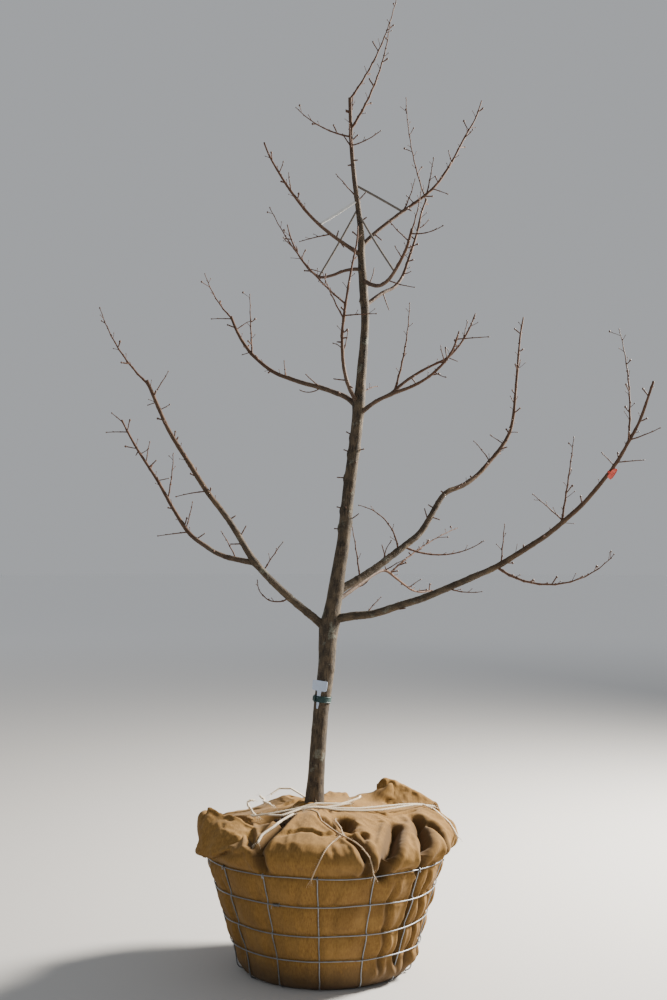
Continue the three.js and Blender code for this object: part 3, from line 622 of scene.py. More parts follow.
def tube(path, spacing, sides, radius_at, relief=None, sway=None, start=0, end=None):
    """A closed tube along a path. Relief moves its skin in or out; sway moves its rings aside."""
    stops = evenly(start, path.length if end is None else end, spacing)
    plain, turn, ring = plain_tube(sides, len(stops))
    centres, across, other = sections(path, stops)
    if sway is not None:
        centres = centres + across * np.array([sway(stop) for stop in stops])[:, None]
    outward = across[ring] * np.cos(turn)[:, None] + other[ring] * np.sin(turn)[:, None]
    radius = np.array([radius_at(stop) for stop in stops])[ring]
    along = np.array(stops)[ring]
    if relief is not None:
        radius = radius + relief(centres[ring] + outward * radius[:, None], along, outward)
    mesh = plain.copy()
    write_places(mesh, centres[ring] + outward * radius[:, None])
    write_vectors(mesh, "grain", side_by_side(radius * np.cos(turn), radius * np.sin(turn), along) * MM)
    return mesh


def joined(meshes):
    """Several meshes as one; the loose ones are cleared away."""
    bm = bmesh.new()
    for mesh in meshes:
        bm.from_mesh(mesh)
        bpy.data.meshes.remove(mesh)
    return mesh_of(bm, "joined")


def place_piece(name, mesh, finish, slot, *nodes, crease=None):
    """A mesh as a named piece: its finish, the solids it stands for, and its body; its slot is not used."""
    mesh.name = name
    mesh.shade_smooth()
    if crease is not None:
        mesh.set_sharp_from_angle(angle=math.radians(crease))
    mesh.materials.append(finish)
    piece = bpy.data.objects.new(name, mesh)
    bpy.context.collection.objects.link(piece)
    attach(piece, "root")
    if nodes:
        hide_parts(*nodes)
    return piece


def roughly(places, size, octaves=3):
    """Noise from about -1 to 1 at places in millimetres, with blotches of about this size."""
    return np.array([noise.fractal(Vector(place) / size, 1.0, 2.0, octaves) for place in places])


print("tube of 12 sides and 5 rings:", len(plain_tube(12, 5)[0].vertices), "vertices")

# %% [markdown]
# ## The trunk
#
# The trunk of a young fruit tree is far from a smooth cone. It flares where the roots leave it, swells into a
# collar under every bough, carries the healed knots of pruned shoots, and its skin cracks lengthwise near the
# foot. Sculpting would give that once; here each of them is a small push along the skin of one finely ringed
# tube, so that the collars sit exactly where the boughs leave.

# %% Trunk with collars, knots and cracks
RING_SPACING = 6
GOLDEN_TURN = 137.5
TRUNK_SIDES = 48
OVERLAP = 4
# Knots of pruned shoots: [distance up the trunk, heading, width, push].
KNOTS = [
    [300, 205, 11, 2.6], [520, 320, 13, 3.0], [905, 250, 12, 2.4], [1040, 190, 12, 5.0],
    [1105, 185, 11, 4.5], [1060, 350, 10, 4.0], [1225, 176, 12, 5.5], [1315, 186, 11, 4.0],
    [1330, 352, 9, 3.4], [1375, 184, 11, 4.2], [1560, 300, 9, 2.4], [1690, 20, 9, 2.6], [1880, 184, 8, 3.4],
    [2175, 350, 6, 2.4], [2250, 10, 6, 2.4], [760, 30, 13, 2.8], [430, 110, 13, 3.0], [1500, 120, 10, 2.6],
]


def hump(places, centre, size):
    """1 at the centre and less around it, over about this size."""
    return np.exp(-((places - centre) ** 2).sum(axis=1) / size**2)


def collars(places, carrier):
    """How far the skin swells round everything that leaves this stick."""
    push = np.zeros(len(places))
    for limb in limbs.values():
        if limb.parent is carrier:
            root = limb.path.at(carrier.diameter_at(limb.leaves) / 2)
            push += 0.17 * limb.thick * hump(places, root - np.array((0, 0, 0.2 * limb.thick)), limb.thick)
    for at, heading, _, _, length in carrier.shoots:
        out = direction(heading, 20) * carrier.diameter_at(at) / 2
        push += (0.5 + length / 260) * hump(places, carrier.path.at(at) + out, 7)
    return push


def trunk_relief(places, along, outward):
    push = collars(places, trunk)
    for at, heading, width, swell in KNOTS:
        centre = trunk.path.at(at) + direction(heading, 0) * trunk.diameter_at(at) / 2
        push += swell * (1.25 * hump(places, centre, width) - 0.7 * hump(places, centre, width * 0.38))
    heading = np.arctan2(outward[:, 1], outward[:, 0])
    push += 3.4 * np.maximum(0, np.cos(3 * heading - 0.9)) * np.exp(-along / 42)
    girth = np.interp(along, [0, 700, 2400], [1.0, 0.7, 0.4])
    push += girth * 0.75 * roughly(places * (1, 1, 0.22), 7.5)
    push += girth * (1.3 * roughly(places + 400, 70, 2) + 0.35 * roughly(places, 4, 2))
    return push


def stick_tube(stick, spacing, sides, relief, thinner=0, **part):
    """The trunk or a limb, or a part of it, as a tube."""
    return tube(stick.path, spacing, sides, lambda at: stick.diameter_at(at) / 2 - thinner, relief, **part)


trunk_mesh = stick_tube(trunk, RING_SPACING, TRUNK_SIDES, trunk_relief, end=trunk.bare)
trunk_with_bark = place_piece("trunk_with_bark", trunk_mesh, trunk_finish, "trunk_bark", "trunk")
print("trunk faces:", len(trunk_with_bark.data.polygons))

# %% [markdown]
# ## The boughs
#
# Each bough is one tapering limb that ends where its twigs begin. It leaves the trunk through a collar, shows
# a faint ring for every winter it has seen, and keeps short spurs and snags along its bare length. The tube
# starts in the middle of its parent, so that bark meets bark all round with no seam to hide.

# %% Boughs
BOUGH_SIDES = 18
SNAG_RINGS = (4, 8)
WINTER_RINGS = 88
# Short twigs and snags that the photograph shows: [distance, heading, rise at root, rise at tip, length].
SNAGS = {
    "leader": [
        [2250, 5, 48, 50, 50], [2175, 350, 30, 34, 30], [2405, 355, 0, 10, 22], [2390, 184, -15, -8, 21],
        [2455, 190, 53, 56, 55], [1915, 8, 49, 84, 101], [1880, 184, -9, -4, 24], [2585, 186, 27, 30, 17],
        [1225, 178, 0, 4, 46], [1060, 350, 28, 38, 60], [1325, 345, 5, 12, 36], [1377, 186, 24, 30, 37],
        [1316, 190, 16, 22, 40], [1280, 300, 0, 6, 33], [1174, 285, 0, 5, 36], [1108, 196, 12, 16, 38],
        [1036, 184, 0, 4, 36], [1105, 262, 20, 24, 34],
    ],
    "low_left": [
        [920, 186, 53, 53, 20], [890, 10, 59, 60, 24], [760, 170, 74, 76, 34], [550, 15, 31, 34, 26],
        [475, 350, 62, 60, 53], [450, 200, -4, 0, 47], [250, 240, 20, 30, 18], [125, 120, 30, 44, 22],
    ],
    "low_left_fork": [
        [645, 180, -63, -60, 14], [570, 340, 39, 42, 38], [480, 190, 45, 50, 20], [245, 15, 33, 36, 43],
        [160, 260, 10, 30, 20],
    ],
    "mid_left": [[175, 185, 35, 45, 75], [180, 160, -37, 27, 85], [90, 230, 20, 40, 16]],
    "mid_upright": [
        [250, 184, 0, 6, 22], [265, 355, 0, 8, 18], [110, 186, 4, 8, 51], [90, 340, -31, -26, 24],
    ],
    "high_left": [[115, 20, 73, 74, 31], [100, 350, -59, -56, 32]],
    "high_left_low": [[195, 190, -63, -60, 19]],
    "low_right": [
        [245, 330, -22, 20, 49], [255, 20, 63, 66, 20], [330, 300, 10, 30, 18], [565, 20, 50, 62, 24],
        [400, 100, 30, 50, 20],
    ],
    "low_right_rising": [
        [920, 350, 14, 18, 26], [1025, 10, 79, 80, 24], [475, 190, 73, 74, 51], [530, 170, 30, 34, 31],
        [495, 340, -22, -16, 41], [240, 186, 75, 74, 58], [605, 160, 24, 40, 20],
    ],
    "low_back": [[220, 190, -69, 14, 85], [325, 200, 67, 70, 20]],
    "mid_right": [[310, 10, 20, 24, 24]],
    "mid_right_fork": [[105, 350, -58, -54, 26]],
    "high_right": [[235, 350, -34, -30, 16], [70, 340, -45, -40, 37]],
    "high_right_steep": [[100, 350, -74, -68, 69]],
}
SCAR_GAP = 58


def limb_relief(limb):
    """Winter rings, scars of old spurs, wrinkles and the collars of a limb's own forks and shoots."""
    def relief(places, along, outward):
        radius = limb.thick / 2 * (1 - 0.5 * along / limb.path.length)
        ring = np.abs((along + 31) % WINTER_RINGS - WINTER_RINGS / 2)
        push = collars(places, limb) + 0.07 * radius * np.exp(-((ring / 3.2) ** 2))
        for i, at in enumerate(np.arange(36, limb.path.length, SCAR_GAP)):
            scar = limb.path.at(at) + direction(GOLDEN_TURN * i, 25) * limb.diameter_at(at) * 0.5
            push += (0.9 + 0.05 * limb.diameter_at(at)) * hump(places, scar, 5.5)
        push += 0.05 * radius * roughly(places * (1, 1, 0.6), 6, 2)
        return push + 0.09 * radius * roughly(places + 90, 30, 2)
    return relief


def grow_straight(carrier, at, heading, rise, tip_rise, length):
    """A shoot's centreline: one heading, and a rise that changes evenly from its root to its tip."""
    root = carrier.path.at(at)
    return grow(root, length, lambda s: heading, lambda s: rise + (tip_rise - rise) * s / length)


def snag_tubes(carrier, past_bare):
    """Short twigs and snags, thick for their length, on a carrier's bare part or past it."""
    for snag in SNAGS.get(carrier.name, ()):
        at, *_, length = snag
        if (at >= carrier.bare) == past_bare:
            path = grow_straight(carrier, *snag)
            thick = min(2.6 + 22 / math.sqrt(length), 0.55 * carrier.diameter_at(at))

            def radius_at(along):
                return thick * (0.5 - 0.16 * along / path.length + 0.05 * math.sin(along * 1.1))

            yield tube(path, *SNAG_RINGS, radius_at)


def bough_piece(limb):
    stem = stick_tube(limb, RING_SPACING, BOUGH_SIDES, limb_relief(limb), end=limb.bare)
    mesh = joined([stem, *snag_tubes(limb, past_bare=False)])
    return place_piece(f"{limb.name}_bough", mesh, bough_finish, "bough_bark", f"bough_{limb.name}")


boughs = [bough_piece(limb) for limb in limbs.values()]
place_piece("trunk_snags", joined(snag_tubes(trunk, past_bare=False)), bough_finish, "bough_bark")
print("bough faces:", sum(len(bough.data.polygons) for bough in boughs))

# %% [markdown]
# ## Where the twigs go
#
# Past the bare part, each limb carries long shoots that were measured one by one, and between them short
# fruiting spurs that only a rule can place: a golden turn round the stem from one to the next, at distances
# drawn from seeded numbers, skipped where one would touch wood that is already there. The same rule placed
# the spurs in the solids. Here it runs once more with a finer hand, for twiglets that the solids leave out,
# and none of them reaches past the wood that carries it.

# %% Shoots, spurs and twiglets
SHOOT = {"base": 2.6, "per_length": 1 / 68, "share": 0.62, "tip": 1.7}
# The finer wood: its gap and jitter along the stem, how much of the stem's end is kept free, the angle that
# it leaves at and how far upward, and its thickness in millimetres and as a share of the stem's.
SPUR = {"gap": 84, "jitter": 34, "end": 10, "leave": 52, "upward": 20, "thick": 3.6, "share": 0.8}
TWIGLET = {"gap": 46, "jitter": 30, "end": 20, "leave": 46, "upward": 30, "thick": 2.1, "share": 0.7}
TWIGLET_TIP = 1.2
CLEAR_ROOT = 30
CARRIES_SPURS, CARRIES_TWIGLETS = 190, 110
FIRST_SEED = 11
SEED_STEP = 7
FINE_SEED = 5003
TWIG_ROOM = 2.5
LONE_TWIG = 90
# The laths: [height on the trunk, the limb it spreads, distance along that limb, width].
LATH_ENDS = [
    (2790, "high_left", 196, 12), (2848, "high_right", 212, 8), (2762, "high_left_low", 205, 7),
    (2738, "high_front", 238, 7),
]
TAPE_AT = ("low_right", 1166)
TAPE_ROOM = 36


class Room:
    """The wood grown so far, as places with a radius, so that a later twig can keep clear of it."""

    def __init__(self, most):
        self.places = np.full((most, 3), np.inf)
        self.radii = np.zeros(most)
        self.used = 0

    def add(self, place, radius):
        self.places[self.used] = place
        self.radii[self.used] = radius
        self.used += 1

    def claim(self, stick, start):
        for at in np.arange(start, stick.path.length + 1e-6, STEP):
            self.add(stick.path.at(at), stick.diameter_at(at) / 2)

    def is_clear(self, twig):
        for at in np.arange(twig.root_room, twig.path.length + 1e-6, STEP / 2):
            apart = np.linalg.norm(self.places[: self.used] - twig.path.at(at), axis=1)
            if (apart < twig.base / 2 + self.radii[: self.used] + TWIG_ROOM).any():
                return False
        return True


def grow_shoot(carrier, row):
    at, *_, length = row
    path = grow_straight(carrier, *row)
    base = min(SHOOT["base"] + length * SHOOT["per_length"], SHOOT["share"] * carrier.diameter_at(at))
    thinning = (SHOOT["tip"] - base) / path.length
    return SimpleNamespace(path=path, at=at, diameter_at=lambda s: base + thinning * s)


def sideways_from(carrier, at, turn, leave, upward):
    """The direction of a twig that leaves its carrier at an angle, turned round it."""
    along = carrier.path.direction_at(at)
    return along * math.cos(leave) + square_to(along, direction(turn, upward)) * math.sin(leave)


def spur_steps(drawn, girth):
    return 2 + math.floor(3 * drawn)


def twiglet_steps(drawn, girth):
    """Enough steps for a length that is seldom long, counted from the stem's skin."""
    return max(2, round((8 + 26 * drawn**2 + girth / 2) / STEP))


def grow_along(carrier, start, draw, rule, steps_for):
    """Spurs or twiglets along a stem by the seeded rule, each a golden turn round from the last."""
    leave = math.radians(rule["leave"])
    turn = 360 * next(draw)
    at = start + rule["gap"] * next(draw)
    while at < carrier.path.length - rule["end"]:
        girth = carrier.diameter_at(at)
        steps = steps_for(next(draw), girth)
        forward = sideways_from(carrier, at, turn, leave, rule["upward"])
        path = Path([carrier.path.at(at) + forward * STEP * i for i in range(steps + 1)])
        base = min(rule["thick"], rule["share"] * girth)
        root_room = STEP / 2 + (girth / 2 + base / 2 + TWIG_ROOM) / math.sin(leave)
        yield SimpleNamespace(
            path=path, base=base, root_room=root_room, diameter_at=lambda at, base=base: base,
        )
        turn += GOLDEN_TURN
        at += rule["gap"] + rule["jitter"] * (next(draw) - 0.5)


def claim_fixings():
    """Keeps the space of the laths and the tape free of twigs."""
    for height, limb_name, along, wide in LATH_ENDS:
        start = trunk.path.at(trunk.path.distance_at_height(height))
        end = limbs[limb_name].path.at(along)
        for share in np.linspace(0.1, 0.9, 17):
            room.add(start + (end - start) * share, wide / 2)
    room.add(limbs[TAPE_AT[0]].path.at(TAPE_AT[1]), TAPE_ROOM)


def grow_limb_twigs(limb, seed):
    """A limb's lone twigs first, then its shoots, then the spurs between them, as in the solids."""
    draw = seeded(seed)
    limb.lone = [grow_shoot(limb, row) for row in limb.shoots if row[0] < limb.bare and row[4] >= LONE_TWIG]
    limb.mass = [grow_shoot(limb, row) for row in limb.shoots if row[0] >= limb.bare]
    for shoot in limb.lone + limb.mass:
        room.claim(shoot, limb.diameter_at(shoot.at))
    limb.spurs = fill(limb, limb.mass, CARRIES_SPURS, draw, SPUR, spur_steps)


def grow_limb_twiglets(limb, seed):
    limb.twiglets = fill(limb, limb.mass + limb.lone, CARRIES_TWIGLETS, seeded(seed), TWIGLET, twiglet_steps)


def fill(limb, shoots, shortest, draw, rule, steps_for):
    """The finer wood on a limb's end and on its longer shoots, as far as there is room for it."""
    kept = []
    stems = [(limb, limb.bare + CLEAR_ROOT)]
    stems += [(shoot, CLEAR_ROOT) for shoot in shoots if shoot.path.length > shortest]
    for carrier, start in stems:
        for twig in grow_along(carrier, start, draw, rule, steps_for):
            if room.is_clear(twig):
                twig.lone = carrier in limb.lone
                kept.append(twig)
                room.claim(twig, STEP)
    return kept


room = Room(20000)
for stick in (trunk, *limbs.values()):
    room.claim(stick, 0)
claim_fixings()
carriers = [*limbs.values(), trunk]
for i, limb in enumerate(carriers):
    grow_limb_twigs(limb, FIRST_SEED + SEED_STEP * i)
for i, limb in enumerate(carriers):
    grow_limb_twiglets(limb, FINE_SEED + SEED_STEP * i)
for kind in ("lone", "mass", "spurs", "twiglets"):
    print(kind, "grown:", sum(len(getattr(limb, kind)) for limb in carriers))
print("places claimed:", room.used)

# %% [markdown]
# ## Twigs that look grown
#
# A shoot zigzags a little, because each bud took its turn to push it aside, and it is thicker where a bud
# sits. A fruiting spur is stubby and ringed, since it grows only a few millimetres a year. Straight cones
# would read as wire, so each tube gets a sway from bud to bud and a swelling at each of them.

# %% Twig tubes, one piece for each mass
BUD_GAP = 27
# Each kind of tube: how far apart its rings are and how many sides it has.
STEM_RINGS, SHOOT_RINGS, SPUR_RINGS, TWIGLET_RINGS = (7, 14), (5.4, 7), (2.4, 7), (5, 6)
# A stem's twigs start a hair thinner than its bough, so that the two skins don't fight where they overlap.
THINNER = 0.12


def zigzag(at, gap):
    """-1 to 1 and back over two gaps."""
    turn = at / (2 * gap)
    return 4 * abs(turn - math.floor(turn + 0.5)) - 1


def shoot_tube(shoot):
    def radius_at(at):
        joint = abs((at + BUD_GAP / 2) % BUD_GAP - BUD_GAP / 2)
        return (shoot.diameter_at(at) * 0.55 + 0.3) * (1 + 0.26 * math.exp(-((joint / 3.4) ** 2)))

    def sway(at):
        return 0.9 * zigzag(at, BUD_GAP) * min(1, at / 30)

    return tube(shoot.path, *SHOOT_RINGS, radius_at, sway=sway)


def spur_tube(spur):
    length = spur.path.length

    def radius_at(at):
        ringed = 0.36 * math.sin(at * 1.35) ** 2
        return spur.base / 2 * (0.98 + 0.22 * at / length + ringed)

    return tube(spur.path, *SPUR_RINGS, radius_at, sway=lambda at: 0.7 * math.sin(at / 7))


def twiglet_tube(twiglet):
    length = twiglet.path.length

    def radius_at(at):
        return (twiglet.base + (TWIGLET_TIP - twiglet.base) * at / length) / 2 + 0.2

    return tube(twiglet.path, *TWIGLET_RINGS, radius_at, sway=lambda at: 0.6 * math.sin(at / 9))


def mass_piece(limb):
    """The limb carried on past its bough to its tip, with everything that its solid mass stands for."""
    relief = limb_relief(limb) if limb is not trunk else trunk_relief
    meshes = [stick_tube(limb, *STEM_RINGS, relief, THINNER, start=limb.bare - OVERLAP)]
    meshes += [shoot_tube(shoot) for shoot in limb.mass]
    meshes += [spur_tube(spur) for spur in limb.spurs]
    meshes += [twiglet_tube(twiglet) for twiglet in limb.twiglets if not twiglet.lone]
    mesh = joined([*meshes, *snag_tubes(limb, past_bare=True)])
    return place_piece(f"{limb.name}_twig_mass", mesh, twig_finish, "twig_bark", f"twigs_{limb.name}")


def lone_piece(limb):
    meshes = [shoot_tube(shoot) for shoot in limb.lone]
    meshes += [twiglet_tube(twiglet) for twiglet in limb.twiglets if twiglet.lone]
    solids = [f"twig_{limb.name}_{i + 1}" for i in range(len(limb.lone))]
    return place_piece(f"{limb.name}_lone_twigs", joined(meshes), twig_finish, "lone_twig_bark", *solids)


masses = [mass_piece(limb) for limb in carriers]
lone_twigs = [lone_piece(limb) for limb in carriers if limb.lone]
print("twig masses:", len(masses), "faces:", sum(len(mass.data.polygons) for mass in masses))
print("largest mass:", max(len(mass.data.polygons) for mass in masses), "; lone groups:", len(lone_twigs))

# %% [markdown]
# ## Buds
#
# In winter the buds are what tells a fruit tree from a dead one. A leaf bud is a small scale-covered point
# pressed against its shoot, one at every joint and each a golden turn round from the last; a spur ends in a
# fat fruit bud. There are hundreds, so one bud of a few dozen faces is made and copied, never one by one.

# %% Buds
BUD_SEED = 907
STEM_BUD_GAP = 44
BUD = {"leaf": (5.4, 0.40), "tip": (6.6, 0.42), "fruit": (8.6, 0.50)}


def plain_bud():
    """A pointed egg that stands on the origin, one unit tall."""
    bm = bmesh.new()
    bmesh.ops.create_uvsphere(bm, u_segments=6, v_segments=6, radius=0.5)
    for vert in bm.verts:
        up = vert.co.z + 0.5
        vert.co.x *= 1.15 - 0.75 * up**2
        vert.co.y *= 1.15 - 0.75 * up**2
        vert.co.z = up
    mesh = mesh_of(bm, "bud")
    write_vectors(mesh, "scales", read_places(mesh))
    return mesh


def bud_at(place, pointing, kind, size):
    tall, slim = BUD[kind]
    tall *= size
    turn = Vector(pointing).to_track_quat("Z", "Y").to_matrix().to_4x4()
    shape = Matrix.Diagonal((tall * slim * 2 * MM, tall * slim * 2 * MM, tall * MM, 1))
    bud = bud_shape.copy()
    bud.transform(Matrix.Translation(Vector(place * MM)) @ turn @ shape)
    return bud


def buds_along(stick, start, gap, draw):
    """Leaf buds at the joints of a shoot or stem, pressed against it."""
    turn = 360 * next(draw)
    for at in np.arange(start, stick.path.length - 5, gap):
        out = sideways_from(stick, at, turn, math.pi / 2, 25)
        place = stick.path.at(at) + out * stick.diameter_at(at) * 0.40
        pointing = stick.path.direction_at(at) * 0.88 + out * 0.48
        yield bud_at(place, pointing, "leaf", 0.75 + 0.4 * next(draw))
        turn += GOLDEN_TURN


def end_bud(path, kind, draw):
    pointing = path.direction_at(path.length)
    return bud_at(path.at(path.length) - pointing * 1.2, pointing, kind, 0.8 + 0.35 * next(draw))


def limb_buds(limb, draw):
    yield from buds_along(limb, limb.bare + 12, STEM_BUD_GAP, draw)
    for shoot in limb.mass + limb.lone:
        yield from buds_along(shoot, BUD_GAP, BUD_GAP, draw)
        yield end_bud(shoot.path, "tip", draw)
    for spur in limb.spurs:
        yield end_bud(spur.path, "fruit", draw)
    for twiglet in limb.twiglets:
        yield end_bud(twiglet.path, "leaf", draw)


bud_shape = plain_bud()
finish = Finish("bud scales", 0.4)
scales = finish.attribute("scales")
height_on_bud = finish.parts(scales)[2]
overlaps = finish.clouds(finish.stretched(scales, (1, 1, 1.6)), 7, 2)
colour = finish.blend(overlaps, (0.046, 0.021, 0.015), (0.132, 0.068, 0.042))
colour = finish.blend(finish.rise(height_on_bud, 0.55, 1.0) * 0.55, colour, (0.205, 0.172, 0.140))
finish.shade(Base_Color=colour, Roughness=0.48 + overlaps * 0.2, Normal=finish.bump(overlaps, 0.0006))

draw = seeded(BUD_SEED)
all_buds = joined([bud for limb in carriers for bud in limb_buds(limb, draw)])
buds = place_piece("buds", all_buds, finish.material, "twig_bark")
print("buds:", len(buds.data.vertices) // len(bud_shape.vertices), "faces:", len(buds.data.polygons))

# %% [markdown]
# ## Burlap
#
# Burlap is a plain weave of coarse jute: one thread over, one under, with holes between that the earth shows
# through. Its threads are thick and thin by turns, golden where the sun reaches and brown where the wet soil
# has stained it. A photograph of cloth would repeat; two sine waves at right angles make the real weave, and
# they follow attributes laid over the top and round the sides, so that the threads run as the cloth does.

# %% Burlap finish
THREAD = 0.0029
WAVE = math.pi / THREAD


def weave(finish, cloth):
    """A plain weave's height from 0 to 1, the holes between its threads, and each thread's own tone."""
    strays = finish.clouds(cloth, 55, 2)
    x, y, _ = finish.parts(cloth)
    across = ((x + strays * 0.006) * WAVE).math("SINE")
    down = ((y + strays * 0.005) * WAVE).math("SINE")
    over = (across * down * 1.7).math("ADD", across * down * 1.7, 1.0) * 0.5
    share = finish.rise(over, 0.12, 0.88)
    height = abs(across) * share + abs(down) * (1 - share)
    holes = (1 - abs(across)) * (1 - abs(down))
    warp = finish.clouds(finish.stretched(cloth, (1, 0.16, 1)), 330, 1)
    weft = finish.clouds(finish.stretched(cloth, (0.10, 1, 1)), 330, 1)
    slubs = finish.clouds(finish.stretched(cloth, (1, 0.5, 1)), 150, 2, 0.7)
    return height, holes, (warp * share + weft * (1 - share)) * 0.5 + slubs * 0.5


def burlap_finish(name):
    finish = Finish(name, 0.1, Sheen_Weight=0.05, Sheen_Roughness=0.6)
    side, soil, crease_shade = finish.parts(finish.attribute("state"))
    top_height, top_holes, top_tone = weave(finish, finish.attribute("laid"))
    side_height, side_holes, side_tone = weave(finish, finish.attribute("wrapped"))
    height = side_height * side + top_height * (1 - side)
    holes = side_holes * side + top_holes * (1 - side)
    tone = side_tone * side + top_tone * (1 - side)

    place = finish.place()
    faded = finish.clouds(place, 7, 4, 0.6)
    stains = finish.clouds(place, 3.1, 5, 0.65)
    fuzz = finish.clouds(place, 900, 2)
    colour = finish.blend(finish.rise(tone, 0.22, 0.78), (0.128, 0.065, 0.017), (0.262, 0.147, 0.040))
    colour = finish.blend(finish.rise(faded, 0.45, 0.8) * 0.55, colour, (0.305, 0.180, 0.057))
    colour = finish.blend(finish.rise(stains, 0.50, 0.72) * 0.5, colour, (0.105, 0.054, 0.017))
    colour = finish.blend(finish.rise(holes, 0.25, 0.75) * 0.65, colour, (0.042, 0.026, 0.013))
    # Painted shade: the cloth is darkened where its creases and pits lie deep, and faintly along the corners'
    # hems.
    colour = finish.blend(finish.rise(crease_shade, 0.1, 1.0) * 0.7, colour, (0.050, 0.029, 0.013))
    dirt = soil * finish.rise(finish.clouds(place, 28, 5, 0.65) + soil * 0.45, 0.45, 0.72)
    colour = finish.blend(dirt * 0.85, colour, (0.060, 0.041, 0.026))
    threads = finish.bump(height + tone * 0.15 + fuzz * 0.2, 0.0010)
    return finish.shade(Base_Color=colour, Roughness=0.86 + tone * 0.12, Normal=threads)


burlap = burlap_finish("burlap")
print("thread spacing in mm:", THREAD / MM, "finish:", burlap.name)

# %% [markdown]
# ## The wrapped ball
#
# Under the burlap is a flat-bottomed lump of earth, wider at its shoulder than at its foot. The cloth is
# drawn up over the shoulder and tied, so it hangs in fat rolls over the basket's top wire, with dark creases
# between them, and it bellies out a little in every mesh of the basket. A cloth simulation would fold it
# somewhere else than the photograph does, so the profile is spun and its skin is moved instead: first by the
# same rolls and pockets as the solid, then by the creases as lines over the surface, then by fine wrinkles.

# %% The ball's measures
BALL_SIDES = 480
ROW_SPACING = 5.8
TOP_HOLE = 9
BALL_PROFILE = [
    [0, 0], [282, 0], [300, 9], [313, 36], [335.5, 112], [349, 158], [362.8, 204], [378, 256], [393.5, 308],
    [408.4, 358], [422, 406], [421, 414], [436, 430], [447, 452], [440, 480], [410, 502], [345, 521],
    [262, 541], [170, 561], [84, 574], [0, 580],
]
SHOULDER_RADIUS, SHOULDER_HEIGHT = 427, 490
SHOULDER_ROW = 14
# Rolls and hollows: [heading, spread, distance over the surface from the top's middle, spread, push, lift].
LOBES = [
    [2, 11, 482, 66, 40, 0], [336, 9, 482, 66, 27, 4], [310, 9, 486, 66, 25, 4], [288, 8, 482, 76, 24, 6],
    [256, 26, 400, 130, 13, 20], [254, 21, 230, 105, 0, 32], [224, 9, 492, 46, 16, 0],
    [188, 13, 430, 52, 20, 70], [192, 15, 508, 34, 20, 0], [127, 16, 250, 90, 0, 30],
    [85, 20, 372, 90, 4, 44], [48, 9, 362, 60, 10, 84], [12, 24, 385, 84, 6, 40],
    [197, 13, 215, 66, 0, -36], [104, 9, 474, 70, 20, 5], [150, 11, 470, 80, 22, 12],
    [231, 7, 438, 24, 15, 3], [228, 9, 292, 34, 2, 15], [298, 5, 330, 60, 2, 6], [61, 9, 305, 60, 0, 28],
]
RINGS = [(427, 409), (397, 308), (366, 204), (339, 112)]
UPRIGHTS = 14
FIRST_UPRIGHT = 267
POCKET = 14
# Creases: [depth, width, line of (heading, distance over the surface)].
CREASES = [
    [44, 15, [(281, 318), (285, 359), (287, 394), (288, 438), (289, 462), (290, 520)]],
    [16, 11, [(292, 300), (294, 330), (290, 394), (288, 430)]],
    [54, 17, [(337, 250), (325, 305), (315, 340), (304, 404), (299, 436), (297, 472), (297, 540)]],
    [10, 8, [(338, 300), (322, 348), (312, 391), (309, 440)]],
    [56, 17, [(2, 296), (346, 350), (332, 384), (323, 430), (319, 463), (321, 545)]],
    [44, 14, [(352, 340), (344, 411), (339, 449), (337, 478), (339, 530)]],
    [12, 8, [(340, 396), (346, 404), (348, 435), (345, 446), (342, 470)]],
    [20, 10, [(14, 360), (4, 416), (356, 449), (354, 500)]],
    [26, 14, [(34, 290), (26, 360), (22, 420), (24, 510)]],
    [46, 15, [(236, 196), (239, 250), (241, 353), (240, 431), (241, 456), (242, 515)]],
    [24, 11, [(217, 330), (230, 384), (238, 430), (240, 470)]],
    [17, 10, [(197, 255), (206, 300), (216, 330), (224, 356)]],
    [15, 10, [(170, 368), (174, 339), (183, 302), (192, 284), (200, 270)]],
    [9, 8, [(237, 442), (231, 452), (222, 464)]],
    [12, 9, [(205, 480), (216, 456), (228, 446)]],
    [16, 12, [(262, 198), (270, 245), (277, 300), (280, 345)]],
    [11, 9, [(44, 285), (34, 344), (18, 378)]],
    [12, 9, [(303, 124), (338, 150), (351, 180), (345, 231), (357, 262), (2, 290), (8, 340)]],
    [16, 12, [(110, 120), (128, 138), (150, 150), (170, 172)]],
    [5, 11, [(254, 400), (257, 440), (259, 500)]],
    [5, 9, [(272, 380), (274, 430), (276, 500)]],
    [9, 8, [(281, 385), (282, 420), (283, 480)]],
    [15, 10, [(306, 506), (303, 640), (305, 760), (304, 890)]],
    [24, 11, [(321, 498), (319, 560), (320, 600), (317, 720), (318, 894)]],
    [21, 10, [(330, 500), (327, 600), (329, 720), (327, 894)]],
    [22, 10, [(339, 498), (337, 620), (340, 750), (338, 894)]],
    [18, 9, [(349, 500), (351, 620), (348, 760), (349, 894)]],
    [16, 11, [(1, 500), (359, 640), (2, 760), (0, 894)]],
    [6, 12, [(236, 506), (238, 700), (237, 840)]],
    [5, 12, [(276, 506), (274, 640), (275, 800)]],
    [5, 10, [(258, 506), (256, 600), (259, 700)]],
]
# Hems that lie over the cloth below them: [thickness, reach, line], the upper cloth on the left of the line.
HEMS = [
    [7, 20, [(241, 404), (244, 378), (249, 345), (256, 322), (263, 322), (269, 336), (274, 326), (279, 332),
             (283, 352)]],
]
# Hollows that go deep between the folds: [depth, width, heading, distance over the surface].
PITS = [
    [70, 27, 289, 196], [64, 25, 288, 238], [42, 19, 286, 286],
    [50, 44, 222, 222], [22, 24, 233, 250], [13, 9, 127, 212], [13, 9, 112, 200],
]
